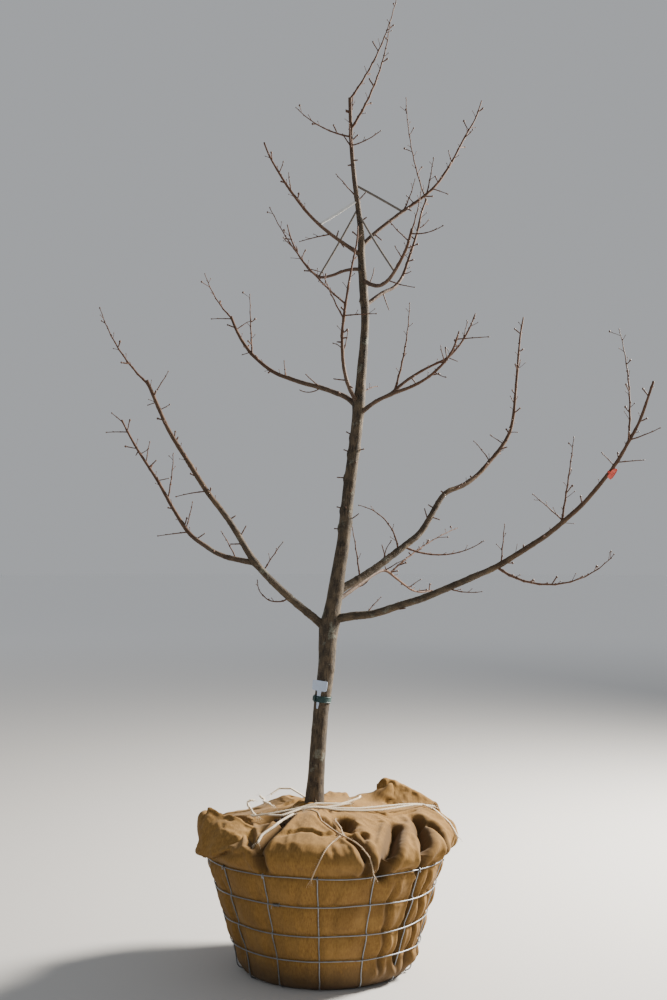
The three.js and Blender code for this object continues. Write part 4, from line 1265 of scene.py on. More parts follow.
# Puffs of loose cloth under the lowest wire: [heading, spread, height, spread, push].
FEET = [
    [304, 5, 58, 26, 24], [318, 6, 52, 27, 27], [334, 6, 78, 36, 27], [350, 6, 60, 30, 20],
    [20, 9, 60, 28, 12], [52, 8, 66, 26, 11], [88, 10, 58, 26, 13], [128, 8, 64, 28, 12],
    [165, 9, 60, 26, 12], [204, 8, 56, 26, 9], [250, 10, 60, 24, 8],
]
BACK_SEED = 77
# The pleats at the trunk's foot: how many, and from where to where over the surface.
GATHERS = (17, 44, 96)


def back_creases():
    """Creases for the sides that the photograph doesn't show, by a seeded rule."""
    draw = seeded(BACK_SEED)
    heading = 30
    lines = []
    while heading < 206:
        top = heading + 14 * (next(draw) - 0.5)
        depth = 11 + 9 * next(draw)
        line = [(top, 215 + 100 * next(draw)), (heading, 380), (heading + 2, 440), (heading, 494)]
        lines.append([depth, 12, line])
        foot = heading + 8 * next(draw)
        lines.append([3 + 6 * next(draw), 11, [(foot, 514), (foot + 3 * next(draw), 690), (foot, 860)]])
        heading += 15 + 11 * next(draw)
    return lines


def gathers(count, start, end):
    """Small pleats all round the trunk's foot."""
    draw = seeded(BACK_SEED + 1)
    for i in range(count):
        heading = 360 * (i + 0.6 * next(draw)) / count
        depth = 4 + 4 * next(draw)
        yield [depth, 6, [(heading, start), (heading + 10 * (next(draw) - 0.5), end + 40 * next(draw))]]


def on_ball(heading, over):
    """The place at a heading and a distance over the surface from the top's middle."""
    radius, height = over, between(BALL_PROFILE[: SHOULDER_ROW - 1 : -1], over)
    if over > SHOULDER_RADIUS:
        height = SHOULDER_RADIUS + SHOULDER_HEIGHT - over
        radius = between([(high, out) for out, high in BALL_PROFILE[1 : SHOULDER_ROW + 1]], height)
    return direction(heading, 0) * radius + (0, 0, height)


def soft_step(low, high, x):
    share = np.clip((x - low) / (high - low), 0, 1)
    return share * share * (3 - 2 * share)


def turned(heading, towards):
    return (heading - towards + 540) % 360 - 180


def apart_from(places, line):
    """How far each place is from a line through given points, its share of the line, and its side."""
    nearest = np.full(len(places), np.inf)
    spot = np.zeros(len(places))
    side = np.zeros(len(places))
    for i, (start, end) in enumerate(zip(line, line[1:])):
        along = end - start
        share = np.clip((places - start) @ along / (along @ along), 0, 1)
        aside = places - start - share[:, None] * along
        apart = np.linalg.norm(aside, axis=1)
        closer = apart < nearest
        nearest = np.where(closer, apart, nearest)
        spot = np.where(closer, (i + share) / (len(line) - 1), spot)
        side = np.where(closer, np.sign(aside @ np.cross(unit(start), along)), side)
    return nearest, spot, side


print("creases:", len(CREASES) + len(back_creases()), "; shoulder at", on_ball(0, 450).round(1))

# %% Ring the profile


def close_profile():
    """The profile from the underside's edge to the trunk's foot, evenly spaced and softened."""
    corners = np.array(BALL_PROFILE[1:-1] + [[TOP_HOLE, 579]], float)
    steps = lengths_along(corners)
    stops = evenly(0, steps[-1], ROW_SPACING)
    rows = side_by_side(*(np.interp(stops, steps, column) for column in corners.T))
    for _ in range(4):
        rows[1:-1] = (rows[:-2] + 2 * rows[1:-1] + rows[2:]) / 4
    return rows


def plain_ball():
    """A finely ringed tube with each ring set on the profile; its top closes inside the trunk."""
    rows = close_profile()
    mesh, turn, ring = plain_tube(BALL_SIDES, len(rows))
    radius, height = rows[ring].T
    write_places(mesh, side_by_side(radius * np.cos(turn), radius * np.sin(turn), height))
    return mesh


ball_mesh = plain_ball()
print("ball faces:", len(ball_mesh.polygons))

# %% Rolls, creases and wrinkles


def polar(places):
    heading = np.degrees(np.arctan2(places[:, 1], places[:, 0])) % 360
    radius = np.hypot(places[:, 0], places[:, 1])
    over = np.where(places[:, 2] > SHOULDER_HEIGHT, radius, SHOULDER_RADIUS + SHOULDER_HEIGHT - places[:, 2])
    return heading, radius, over


def rolled(places):
    """The skin moved by the pockets between the wires and by the rolls over the top, as in the solid."""
    heading, radius, over = polar(places)
    height = places[:, 2]
    push = np.zeros(len(places))
    bay = np.abs(np.sin(np.radians(heading - FIRST_UPRIGHT) * UPRIGHTS / 2))
    for (_, top), (_, foot) in zip(RINGS, RINGS[1:]):
        inside = (height < top) & (height >= foot)
        push += np.where(inside, POCKET * np.sin(math.pi * (height - foot) / (top - foot)) * bay, 0)
    lift = np.zeros(len(places))
    above = soft_step(411, 428, height)
    for towards, spread, lobe_over, over_spread, lobe_push, lobe_lift in LOBES:
        turn = turned(heading, towards)
        weight = above * np.exp(-((turn / spread) ** 2) - ((over - lobe_over) / over_spread) ** 2)
        push += lobe_push * weight
        lift += lobe_lift * weight
    out = np.where(radius > 1e-6, (radius + push) / np.maximum(radius, 1e-6), 1)
    return side_by_side(places[:, 0] * out, places[:, 1] * out, height + lift)


def grip_of_wires(places):
    """1 where a wire holds the cloth in, 0 away from the wires."""
    heading, radius, _ = polar(places)
    ring = np.min([np.abs(places[:, 2] - height) for _, height in RINGS], axis=0)
    step = 360 / UPRIGHTS
    upright = np.abs((heading - FIRST_UPRIGHT + step / 2) % step - step / 2)
    upright = np.radians(upright) * radius
    held = np.maximum(np.exp(-((ring / 9) ** 2)), np.exp(-((upright / 9) ** 2)))
    return held * (places[:, 2] < 418)


def crease_depth(places):
    """How deep the creases and pits lie, and how far their shoulders and the hems stand up."""
    sunk = np.zeros(len(places))
    raised = np.zeros(len(places))
    for depth, width, line in [*CREASES, *back_creases(), *gathers(*GATHERS)]:
        apart, spot, _ = apart_from(places, [on_ball(heading, over) for heading, over in line])
        ends = soft_step(0, 0.2, spot) * soft_step(1, 0.9, spot)
        valley = 0.6 * np.exp(-((apart / width) ** 1.5)) + 0.4 * np.exp(-apart / (2.4 * width))
        sunk = np.maximum(sunk, ends * depth * valley)
        raised += ends * 0.36 * depth * np.exp(-(((apart - 2.0 * width) / width) ** 2))
    for depth, width, heading, over in PITS:
        sunk = sunk + depth * hump(places, on_ball(heading, over), width)
    for thick, reach, line in HEMS:
        apart, spot, side = apart_from(places, [on_ball(heading, over) for heading, over in line])
        ends = soft_step(0, 0.08, spot) * soft_step(1, 0.92, spot)
        above = side * apart
        lap = np.exp(-np.maximum(above, 0) / reach) * soft_step(-6, 5, above)
        raised += ends * thick * (lap - np.exp(-(((above + 9) / 6) ** 2)))
    return sunk, np.minimum(raised, 13)


def puffs(places):
    heading, _, _ = polar(places)
    push = np.zeros(len(places))
    for towards, spread, height, tall, swell in FEET:
        turn = turned(heading, towards)
        push += swell * np.exp(-((turn / spread) ** 2) - ((places[:, 2] - height) / tall) ** 2)
    return push


def wrinkles(places):
    """Fine folds that run down the sides and out from the middle of the top."""
    heading, _, over = polar(places)
    away = np.radians(heading)
    spread = 150 + 0.55 * over
    radial = side_by_side(spread * np.cos(away), spread * np.sin(away), over * 0.22)
    sides = places * (1, 1, 0.3)
    on_side = soft_step(470, 520, over)
    slack = 0.35 + 0.9 * soft_step(-0.1, 0.45, roughly(places + 500, 130, 1))
    coarse = roughly(radial, 34, 1) * (1 - on_side) * 4.0 * slack + roughly(sides, 34, 2) * on_side * 3.6
    sharp = (0.35 - np.abs(roughly(radial + 900, 30, 1))) * (1 - on_side) * 5.0 * slack
    return coarse + sharp + roughly(places, 13, 1) * 0.5


def dress_ball(mesh):
    """Moves the skin; writes how the cloth runs, where it is stained, and its creases for painted shade."""
    plain = read_places(mesh) / MM
    skin = rolled(plain)
    write_places(mesh, skin)
    normals = np.empty(len(mesh.vertices) * 3, np.float32)
    mesh.vertices.foreach_get("normal", normals)
    normals = normals.reshape(-1, 3)
    heading, _, over = polar(plain)
    sunk, raised = crease_depth(plain)
    held = grip_of_wires(plain)
    loose = soft_step(1, 26, plain[:, 2]) * soft_step(20, 70, np.where(over < 300, over, 300))
    moved = raised - sunk + puffs(plain) + wrinkles(plain) * (1 - 0.85 * held) - 2.4 * held
    collar = 15 * np.exp(-(((np.hypot(plain[:, 0] + 41, plain[:, 1]) - 52) / 17) ** 2)) * (plain[:, 2] > 500)
    write_places(mesh, skin + normals * ((moved + collar) * loose)[:, None])

    drift = roughly(plain, 160, 1) * 14
    laid = side_by_side(plain[:, 0] + drift, plain[:, 1] - drift, 0)
    write_vectors(mesh, "laid", laid * MM)
    wrapped = side_by_side(np.radians(heading) * SHOULDER_RADIUS + drift, over, 0)
    write_vectors(mesh, "wrapped", wrapped * MM)
    soil = np.clip(soft_step(150, 0, plain[:, 2]) * 0.9 + hump(plain, on_ball(218, 214), 46) * 1.4, 0, 1)
    # Its third number is how deep the creases and pits lie, which the finish turns into painted shade.
    write_vectors(mesh, "state", side_by_side(soft_step(372, 430, over), soil, np.clip(sunk / 20, 0, 1)))


dress_ball(ball_mesh)
wrapped_ball = place_piece("burlap_ball", ball_mesh, burlap, "burlap", "root_ball")
ball_tree = BVHTree.FromPolygons([v.co for v in ball_mesh.vertices], [p.vertices for p in ball_mesh.polygons])
print("the ball's width, depth and height:", [round(size, 3) for size in wrapped_ball.dimensions])

# %% [markdown]
# ## Corners of the cloth
#
# Burlap comes as a square, so the corners are left over when it is gathered up. One hangs stiffly over the
# left shoulder, and one stands up behind on the right. They are single sheets with a free hem, so they can't
# be part of the ball's closed skin: each is a grid with the thickness of two layers of cloth, laid through
# rows of places that were measured or judged.

# %% Loose corners of burlap
CLOTH_THICK = 2.6
# Rows of places on each sheet: x, y and z of one place after another.
LEFT_CORNER = np.reshape([
    -388, -22, 520, -402, -60, 545, -373, -75, 532, -337, -95, 524, -297, -125, 516, -240, -160, 500,
    -398, -56, 560, -414, -110, 587, -381, -125, 573, -356, -142, 565, -316, -165, 564, -244, -206, 528,
    -404, -78, 548, -418, -132, 574, -378, -158, 563, -344, -180, 556, -300, -203, 548, -238, -238, 520,
    -416, -108, 524, -424, -170, 548, -382, -214, 541, -336, -252, 530, -294, -274, 518, -244, -284, 498,
    -434, -120, 480, -438, -184, 498, -398, -236, 492, -352, -280, 492, -313, -302, 494, -260, -304, 490,
    -442, -132, 434, -449, -190, 446, -408, -243, 450, -368, -286, 464, -330, -310, 480, -272, -314, 481,
    -424, -140, 428, -430, -186, 431, -396, -230, 438, -358, -270, 452, -322, -294, 468, -268, -298, 470,
], (7, 6, 3))
RIGHT_CORNER = np.reshape([
    190, 196, 530, 262, 172, 524, 326, 156, 520, 396, 150, 505,
    196, 256, 572, 246, 250, 584, 322, 226, 568, 404, 184, 538,
    201, 296, 596, 236, 298, 622, 312, 268, 596, 414, 208, 546,
    220, 332, 572, 262, 336, 584, 338, 304, 560, 430, 236, 522,
    240, 372, 508, 290, 378, 506, 366, 336, 486, 446, 262, 470,
], (5, 4, 3))


def smooth_through(points, shares):
    """Places on one smooth curve through the points, or through one line of points for each share."""
    points = np.array(points, float)
    shares = np.array(shares)
    last = len(points) - 1
    spots = np.clip(shares * last, 0, last - 1e-9)
    i = spots.astype(int)
    t = (spots - i)[:, None]
    own = () if points.ndim == 2 else (np.arange(len(shares)),)
    a, b, c, d = (points[(np.clip(i + step, 0, last), *own)] for step in (-1, 0, 1, 2))
    bend = (2 * a - 5 * b + 4 * c - d) * t**2 + (3 * b - a - 3 * c + d) * t**3
    return b + 0.5 * ((c - a) * t + bend)


def bent_sheet(name, columns, lines, thick, place_at):
    """A flat sheet with its thickness, and where place_at(across, along), each 0 to 1, lays each vertex."""
    bm = bmesh.new()
    bmesh.ops.create_grid(bm, x_segments=columns, y_segments=lines, size=0.5)
    bmesh.ops.solidify(bm, geom=bm.faces[:], thickness=0.001)
    mesh = mesh_of(bm, name, outward=True)
    flat = read_places(mesh)
    share = np.clip(flat[:, :2] + 0.5, 0, 1)
    ways = []
    for step in ((0.01, 0), (0, 0.01)):
        ends = [place_at(*np.clip(share + np.multiply(step, way), 0, 1).T) for way in (-1, 1)]
        ways.append(ends[1] - ends[0])
    normal = np.cross(*ways)
    normal = normal / np.linalg.norm(normal, axis=1)[:, None]
    layer = np.where(flat[:, 2:] > flat[:, 2].mean(), 0.5, -0.5) * thick
    return mesh, share, place_at(*share.T), normal, layer


def loose_corner(name, rows, columns, lines, crumple):
    """A sheet of cloth through rows of places, wrinkled, with a rolled hem all round."""
    def place_at(across, along):
        return smooth_through([smooth_through(row, across) for row in rows], along)

    mesh, share, places, normal, layer = bent_sheet(name, columns, lines, CLOTH_THICK, place_at)
    hem = np.exp(-np.min([share[:, 0], 1 - share[:, 0], share[:, 1], 1 - share[:, 1]], axis=0) / 0.022)
    wave = roughly(places * (1, 1, 0.6), 46, 2) * 8
    ripple = wave + roughly(places, 17, 2) * 2.6 + roughly(places, 8, 1) * 0.6
    bend = (0.35 - np.abs(roughly(places + 300, 38, 2))) * 9
    places = places + normal * crumple * (ripple + bend)[:, None] + normal * layer * (1 + 1.6 * hem[:, None])
    write_places(mesh, places)
    bm = bmesh.new()
    bm.from_mesh(mesh)
    bmesh.ops.recalc_face_normals(bm, faces=bm.faces)
    bm.to_mesh(mesh)
    bm.free()
    size = (np.linalg.norm(np.subtract(rows[2][-1], rows[2][0])), 45 * len(rows))
    laid = side_by_side(share[:, 0] * size[0], share[:, 1] * size[1], 0) * MM
    write_vectors(mesh, "laid", laid)
    write_vectors(mesh, "wrapped", laid)
    # The third number puts a little painted shade along the hem, as the creases' depth does on the ball.
    write_vectors(mesh, "state", side_by_side(0, 0, 0.2 * hem))
    return place_piece(name, mesh, burlap, "burlap", crease=60)


corners = [
    loose_corner("burlap_corner_left", LEFT_CORNER, 60, 70, 0.62),
    loose_corner("burlap_corner_right", RIGHT_CORNER, 60, 56, 0.4),
]
print("corner faces:", [len(corner.data.polygons) for corner in corners])

# %% [markdown]
# ## Crumbs of earth
#
# Where the cloth gapes on the left, the digger's soil shows: dark, damp crumbs between pea and walnut size.
# They could be painted on, but a real gap has crumbs lying on each other, so a few dozen small lumps are
# dropped onto the cloth from above, each a copy of one rough stone, turned and sized by seeded numbers.

# %% Soil in the gap
SOIL_SEED = 313
GAP_IN_CLOTH = (218, 210)
# How far crumbs lie from the middle of the gap.
GAP_REACH = 52
CRUMBS = 130


def drop_on(tree, x, y):
    """The place where something dropped at x and y, in millimetres, would land, and which way is out."""
    place, normal, _, _ = tree.ray_cast(Vector((x * MM, y * MM, 1.0)), Vector((0, 0, -1)))
    return np.array(place) / MM, normal


def plain_crumb():
    bm = bmesh.new()
    bmesh.ops.create_icosphere(bm, subdivisions=2, radius=1)
    for vert in bm.verts:
        vert.co *= 1 + 0.3 * noise.noise(vert.co * 1.7)
    return mesh_of(bm, "crumb")


def scatter_crumbs():
    draw = seeded(SOIL_SEED)
    shape = plain_crumb()
    middle = on_ball(*GAP_IN_CLOTH)
    crumbs = []
    for _ in range(CRUMBS):
        away = GAP_REACH * math.sqrt(next(draw))
        spot = direction(360 * next(draw), 0) * away + middle
        place, _ = drop_on(ball_tree, spot[0], spot[1])
        size = 1.6 + 7.5 * next(draw) ** 3
        lump = shape.copy()
        turn = Matrix.Rotation(6.3 * next(draw), 4, Vector(direction(360 * next(draw), 40)))
        squash = Matrix.Diagonal((size * MM, size * MM * (0.7 + 0.3 * next(draw)), size * MM * 0.75, 1))
        lump.transform(Matrix.Translation(Vector((place + (0, 0, size * 0.35)) * MM)) @ turn @ squash)
        crumbs.append(lump)
    return joined(crumbs)


finish = Finish("damp soil", 0.3)
clods = finish.spots(120, 4, 0.65)
grit = finish.spots(700, 3, 0.7)
colour = finish.blend(finish.rise(clods, 0.3, 0.7), (0.035, 0.024, 0.016), (0.105, 0.070, 0.043))
colour = finish.blend(finish.rise(grit, 0.62, 0.75) * 0.4, colour, (0.22, 0.17, 0.12))
finish.shade(Base_Color=colour, Roughness=0.88 + grit * 0.1, Normal=finish.bump(clods * 0.5 + grit, 0.0012))
crumbs = place_piece("soil_crumbs", scatter_crumbs(), finish.material, "burlap")
print("crumbs:", CRUMBS, "faces:", len(crumbs.data.polygons))

# %% [markdown]
# ## The wire basket
#
# The basket holds the ball together while a loader lifts it: four rings of drawn wire, spot-welded to
# uprights that are bent in under the ball and hooked over the top ring. Perfect circles would look like a
# drawing of one, so each ring is spun, then pulled taut over the cloth that it really lies on and let wander
# a little. The uprights follow a Path with close points, because their hooks are smaller than the growth
# rule's steps.

# %% Rings and uprights
WIRE_RADIUS = 2.3
WIRE_SIDES = 8
WIRE_SPACING = 2.5
RING_STEPS = 180
UPRIGHT_FOOT = [(324, 60), (320.5, 36), (314, 15), (296, 4.5)]
WELD_RADIUS = 3.1
# How far a ring stands out from the cloth and an upright lies in from a ring, in radii of the wire, and over
# how many of the ring's steps each way it is pulled taut.
RING_OUT, UPRIGHT_IN = 2.4, 1.5
TAUT_REACH = 5
UPRIGHT_SEED = 400
TIE = (246, 308)


def smooth_line(points, spacing):
    """A path on one smooth curve through the points, with its own spacing."""
    dense = smooth_through(points, np.linspace(0, 1, 24 * len(points)))
    steps = lengths_along(dense)
    stops = evenly(0, steps[-1], spacing)
    return Path(side_by_side(*(np.interp(stops, steps, column) for column in dense.T)), stops[1])


def cloth_radius(heading, height):
    """How far out the cloth comes at a heading and a height."""
    out = direction(heading, 0)
    start = Vector((out * 900 + (0, 0, height)) * MM)
    place, _, _, _ = ball_tree.ray_cast(start, Vector(-out))
    return math.hypot(place.x, place.y) / MM


def taut_radii(height):
    """The radius of a wire pulled taut round the cloth, for each of the ring's steps."""
    headings = [360 * i / RING_STEPS for i in range(RING_STEPS)]
    rises = (-3, 0, 3)
    radii = np.array([max(cloth_radius(heading, height + rise) for rise in rises) for heading in headings])
    shifts = range(-TAUT_REACH, TAUT_REACH + 1)
    taut = np.max([np.roll(radii, shift) for shift in shifts], axis=0)
    return np.mean([np.roll(taut, shift) for shift in shifts], axis=0)


def spin_round(bm, geom, steps):
    """A profile carried all the way round the upright axis."""
    bmesh.ops.spin(
        bm, geom=geom, cent=(0, 0, 0), axis=(0, 0, 1), dvec=(0, 0, 0), angle=2 * math.pi, steps=steps,
        use_merge=True,
    )


def basket_ring(height, seed):
    bm = bmesh.new()
    profile = Matrix.Translation((1, 0, height * MM)) @ Matrix.Rotation(math.pi / 2, 4, "X")
    bmesh.ops.create_circle(bm, segments=WIRE_SIDES, radius=WIRE_RADIUS * MM, matrix=profile)
    spin_round(bm, bm.verts[:] + bm.edges[:], RING_STEPS)
    mesh = mesh_of(bm, "ring", outward=True)
    places = read_places(mesh) / MM
    away = np.arctan2(places[:, 1], places[:, 0])
    step = np.rint(np.degrees(away) % 360 * RING_STEPS / 360).astype(int) % RING_STEPS
    out = side_by_side(np.cos(away), np.sin(away), 0)
    lies = taut_radii(height)[step] + RING_OUT * WIRE_RADIUS
    places = places + out * (lies - 1000)[:, None]
    places[:, 2] += 4.5 * roughly(out * 300 + 50 * seed, 170, 2)
    write_places(mesh, places)
    write_vectors(mesh, "grain", places * MM)
    return mesh


def ring_radius(ring, heading):
    """How far out the middle of a ring's wire is at a heading."""
    return taut_radii_at[ring][round(heading * RING_STEPS / 360) % RING_STEPS] + RING_OUT * WIRE_RADIUS


def upright_path(index):
    """One upright: its hook over the top ring, straight from ring to ring, then in under the ball's edge."""
    heading = FIRST_UPRIGHT + 360 * index / UPRIGHTS
    draw = seeded(UPRIGHT_SEED + index)
    inside = [ring_radius(ring, heading) - UPRIGHT_IN * WIRE_RADIUS for ring in range(len(RINGS))]
    rings = [(radius, height) for radius, (_, height) in zip(inside, RINGS)]
    top, high = rings[0]
    hook = [(top + 7.6, high - 9), (top + 8.2, high), (top + 4.1, high + 5.4), (top, high)]
    down = []
    for (radius, height), (next_radius, next_height) in zip(rings, rings[1:]):
        down += [(radius, height - 10), ((radius + next_radius) / 2, (height + next_height) / 2)]
        down.append((next_radius, next_height + 10))
    points = []
    turn = heading
    for radius, height in hook + down + UPRIGHT_FOOT:
        points.append(direction(turn, 0) * radius + (0, 0, height))
        turn = heading + 0.4 * (next(draw) - 0.5)
    return smooth_line(points, WIRE_SPACING)


def weld(place):
    bm = bmesh.new()
    middle = Matrix.Translation(Vector(place) * MM)
    bmesh.ops.create_icosphere(bm, subdivisions=1, radius=WELD_RADIUS * MM, matrix=middle)
    mesh = mesh_of(bm, "weld")
    write_vectors(mesh, "grain", np.full(len(mesh.vertices) * 3, 9.0))
    return mesh


def wire_tie():
    """A short length of thin wire wound round the second ring, with its two ends sticking out."""
    heading, height = TIE
    out = direction(heading, 0)
    side = direction(heading + 90, 0)
    middle = out * ring_radius(1, heading) + (0, 0, height)
    points = [middle - side * 14 + out * 9 + (0, 0, -12)]
    for i in range(49):
        turn = 2 * math.pi * i / 8
        across = out * math.cos(turn) + np.array((0, 0, 1)) * math.sin(turn)
        points.append(middle + side * (i - 24) * 0.5 + across * 4.2)
    points.append(middle + side * 17 + out * 8 + (0, 0, 11))
    path = smooth_line(points, 1.2)
    return tube(path, 1.2, 6, lambda at: 1.1)


taut_radii_at = [taut_radii(height) for _, height in RINGS]
upright_paths = [upright_path(i) for i in range(UPRIGHTS)]
wires = [basket_ring(height, i) for i, (_, height) in enumerate(RINGS)]
wires += [tube(path, WIRE_SPACING, WIRE_SIDES, lambda at: WIRE_RADIUS) for path in upright_paths]
wires.append(wire_tie())
for i, path in enumerate(upright_paths):
    places = [path.at(at) for at in evenly(24, path.length, 3)]
    for _, height in RINGS:
        crossing = min(places, key=lambda place: abs(place[2] - height))
        wires.append(weld(crossing + direction(FIRST_UPRIGHT + 360 * i / UPRIGHTS, 0) * 1.8))

finish = Finish("galvanised wire", 0.5, Metallic=0.88)
zinc = finish.spots(60, 3)
specks = finish.spots(420, 2)
rust = finish.rise(finish.spots(17, 4, 0.65), 0.60, 0.72) * 0.7
colour = finish.blend(zinc, (0.13, 0.138, 0.150), (0.30, 0.315, 0.335))
colour = finish.blend(rust * finish.rise(specks, 0.4, 0.6), colour, (0.16, 0.065, 0.028))
worn = 0.34 + zinc * 0.22 + rust * 0.3
finish.shade(Base_Color=colour, Roughness=worn, Normal=finish.bump(specks + rust, 0.0003))
basket = place_piece("basket_of_wire", joined(wires), finish.material, "wire", "wire_basket")
print("basket faces:", len(basket.data.polygons), "top ring radius:", round(float(taut_radii_at[0].mean())))

# %% [markdown]
# ## Twine
#
# The cloth is tied with two-ply twine, slung from side to side across the top. It is tight, so it bridges the
# hollows and only bites where the cloth stands up. A straight tube would be too clean: each twine below is
# laid through the places where it was seen, pulled tight step by step over the ball's skin, then drawn as two
# strands that wind round each other, with stray fibres along it and a brush of them at each cut end.

# %% Twines
PLY_RADIUS = {"twine_over": 2.2, "twine_right": 2.2, "twine_front": 1.5, "twine_left": 2.6}
PLY_PITCH = 15
TWINE_STEP = 2.2
KNOT_AT = (60, -340, 536)
# Each twine: the places it passes, tight between them.
TWINES = {
    "twine_over": [
        [(-262, -46, 545), (-247, -110, 556), (-110, -82, 574), (-30, -66, 592), (60, -28, 584),
         (124, 40, 592), (130, 104, 588)],
        [(-226, -72, 556), (-150, -150, 566), (-70, -74, 580), (4, -84, 582), (86, -24, 584)],
        [(-204, 150, 586), (-172, 176, 604), (-128, 172, 604), (-70, 60, 590), (-30, 40, 588)],
    ],
    "twine_right": [
        [(-88, -84, 580), (10, -90, 582), (120, -70, 575), (300, 60, 566), (360, 92, 560), (400, 70, 545),
         (452, -10, 512), (478, -66, 470)],
        [(-64, -92, 580), (60, -96, 572), (200, -52, 566), (330, 70, 562), (404, 118, 548)],
    ],
    "twine_front": [
        [(-52, -150, 566), (-10, -230, 562), (28, -300, 548), KNOT_AT, (102, -376, 522), (126, -404, 508),
         (150, -426, 482), (160, -436, 452), (164, -438, 424)],
        [(36, -232, 566), (56, -290, 552), KNOT_AT, (34, -384, 524), (4, -418, 500), (-20, -438, 468),
         (-34, -448, 432), (-43, -450, 410)],
    ],
    "twine_left": [
        [(-112, -128, 566), (-128, -156, 562), (-150, -196, 556), (-180, -262, 545), (-212, -318, 532),
         (-224, -352, 514)],

        [(-239, 56, 598), (-232, 46, 592), (-222, 52, 586), (-226, 38, 580), (-210, 30, 577),
         (-199, 34, 569)],
        [(-258, 0, 590), (-268, -8, 594), (-280, -14, 588), (-278, -22, 576), (-268, -26, 566),
         (-262, -30, 554), (-246, -34, 540)],
    ],
}
TWINE_ROUNDS = 60
TWINE_LIFT = 2.4
TWINE_SEED = 900


def pull_tight(places):
    """Places on the twine, drawn straight between their ends and lifted off the cloth."""
    line = smooth_line(places, 5)
    points = line.points.copy()
    fixed = {int(np.argmin(np.linalg.norm(points - place, axis=1))) for place in np.array(places, float)}
    free = np.array([i not in fixed for i in range(len(points))])
    for _ in range(TWINE_ROUNDS):
        middle = (points[:-2] + points[2:]) / 2
        points[1:-1] += np.where(free[1:-1, None], (middle - points[1:-1]) * 0.9, 0)
        for i, point in enumerate(points):
            place, normal, _, _ = ball_tree.find_nearest(Vector(point * MM))
            deep = (Vector(point * MM) - place).dot(normal) / MM
            if deep < TWINE_LIFT:
                points[i] = np.array(place) / MM + np.array(normal) * TWINE_LIFT
    return smooth_line(points, TWINE_STEP)


def plies(path, radius):
    """Two strands that wind round a path."""
    stops = evenly(0, path.length, TWINE_STEP)
    centres, across, other = sections(path, stops)
    for start in (0, math.pi):
        turn = (stops / PLY_PITCH * 2 * math.pi + start)[:, None]
        strand = Path(centres + (across * np.cos(turn) + other * np.sin(turn)) * radius * 0.86, TWINE_STEP)
        yield tube(strand, TWINE_STEP, 6, lambda at: radius)


def fibre(place, pointing, length, droop):
    """One loose fibre of the twine."""
    points = [place]
    for i in range(4):
        pointing = unit(pointing + np.array((0, 0, -droop)))
        points.append(points[-1] + pointing * length / 4)
    path = smooth_line(points, length / 6)
    return tube(path, length / 6, 3, lambda at: 0.34 - 0.2 * at / path.length)


def loose_fibres(path, draw):
    """Stray fibres along the twine and a brush of them at each cut end."""
    for at in evenly(4, path.length - 4, 7):
        out = direction(360 * next(draw), 20 + 60 * next(draw))
        out = out + path.direction_at(at) * (next(draw) - 0.5) * 2
        yield fibre(path.at(at), out, 5 + 9 * next(draw), 0.15)
    for at, way in ((2, -1), (path.length - 2, 1)):
        for _ in range(11):
            out = path.direction_at(at) * way * 1.3 + direction(360 * next(draw), 50 * next(draw))
            yield fibre(path.at(at), out, 14 + 22 * next(draw), 0.25)


def knot(place, size, radius):
    """An overhand knot."""
    turns = np.linspace(0, 2 * math.pi, 40)
    x, y = np.sin(turns) + 2 * np.sin(2 * turns), np.cos(turns) - 2 * np.cos(2 * turns)
    points = side_by_side(x, y, -1.2 * np.sin(3 * turns))
    return plies(smooth_line(np.array(place) + points * size, TWINE_STEP), radius)


def twine_finish(name, dark, pale):
    finish = Finish(name, 0.25, Sheen_Weight=0.15)
    spun = finish.clouds(finish.stretched(finish.attribute("grain"), (1, 1, 0.3)), 1500, 2)
    # Weathered patches on every twine; the front twine's darker copy of this finish is painted shade.
    weather_and_shade = finish.rise(finish.spots(24, 3), 0.55, 0.75)
    colour = finish.blend(weather_and_shade * 0.5, finish.blend(spun, dark, pale), (0.42, 0.30, 0.18))
    return finish.shade(Base_Color=colour, Roughness=0.78 + spun * 0.15, Normal=finish.bump(spun, 0.0006))


pale_twine = twine_finish("jute twine", (0.55, 0.45, 0.31), (0.93, 0.86, 0.72))
# The front twine hangs down the near side: its darker, browner copy of the finish is painted shade.
shade_painted_twine = twine_finish("weathered jute twine", (0.30, 0.19, 0.10), (0.62, 0.49, 0.33))
for i, (name, lines) in enumerate(TWINES.items()):
    draw = seeded(TWINE_SEED + i)
    radius = PLY_RADIUS[name]
    strands = []
    for line in lines:
        path = pull_tight(line)
        strands += [*plies(path, radius), *loose_fibres(path, draw)]
    if name == "twine_front":
        strands += knot(KNOT_AT, 2.8, radius)
    finish = shade_painted_twine if name == "twine_front" else pale_twine
    piece = place_piece(name + "_two_ply", joined(strands), finish, "twine", name)
    print(name, "faces:", len(piece.data.polygons))

# %% [markdown]
# ## Laths between the trunk and its steep boughs
#
# A nursery spreads boughs that would grow too steeply by wedging a thin lath between them and the trunk: a
# split softwood strip with a V cut into each end. The wide one is new and bleached and lies with its flat
# side up; the thin ones stand on edge and have a darker grey-brown copy of its finish, which is painted
# shade. Each is a cube stretched to size, cut finely along its length, notched by moving the middle of its
# ends, then bowed.

# %% Laths
LATH_THICK = 5
LATH_BOW = 0.012


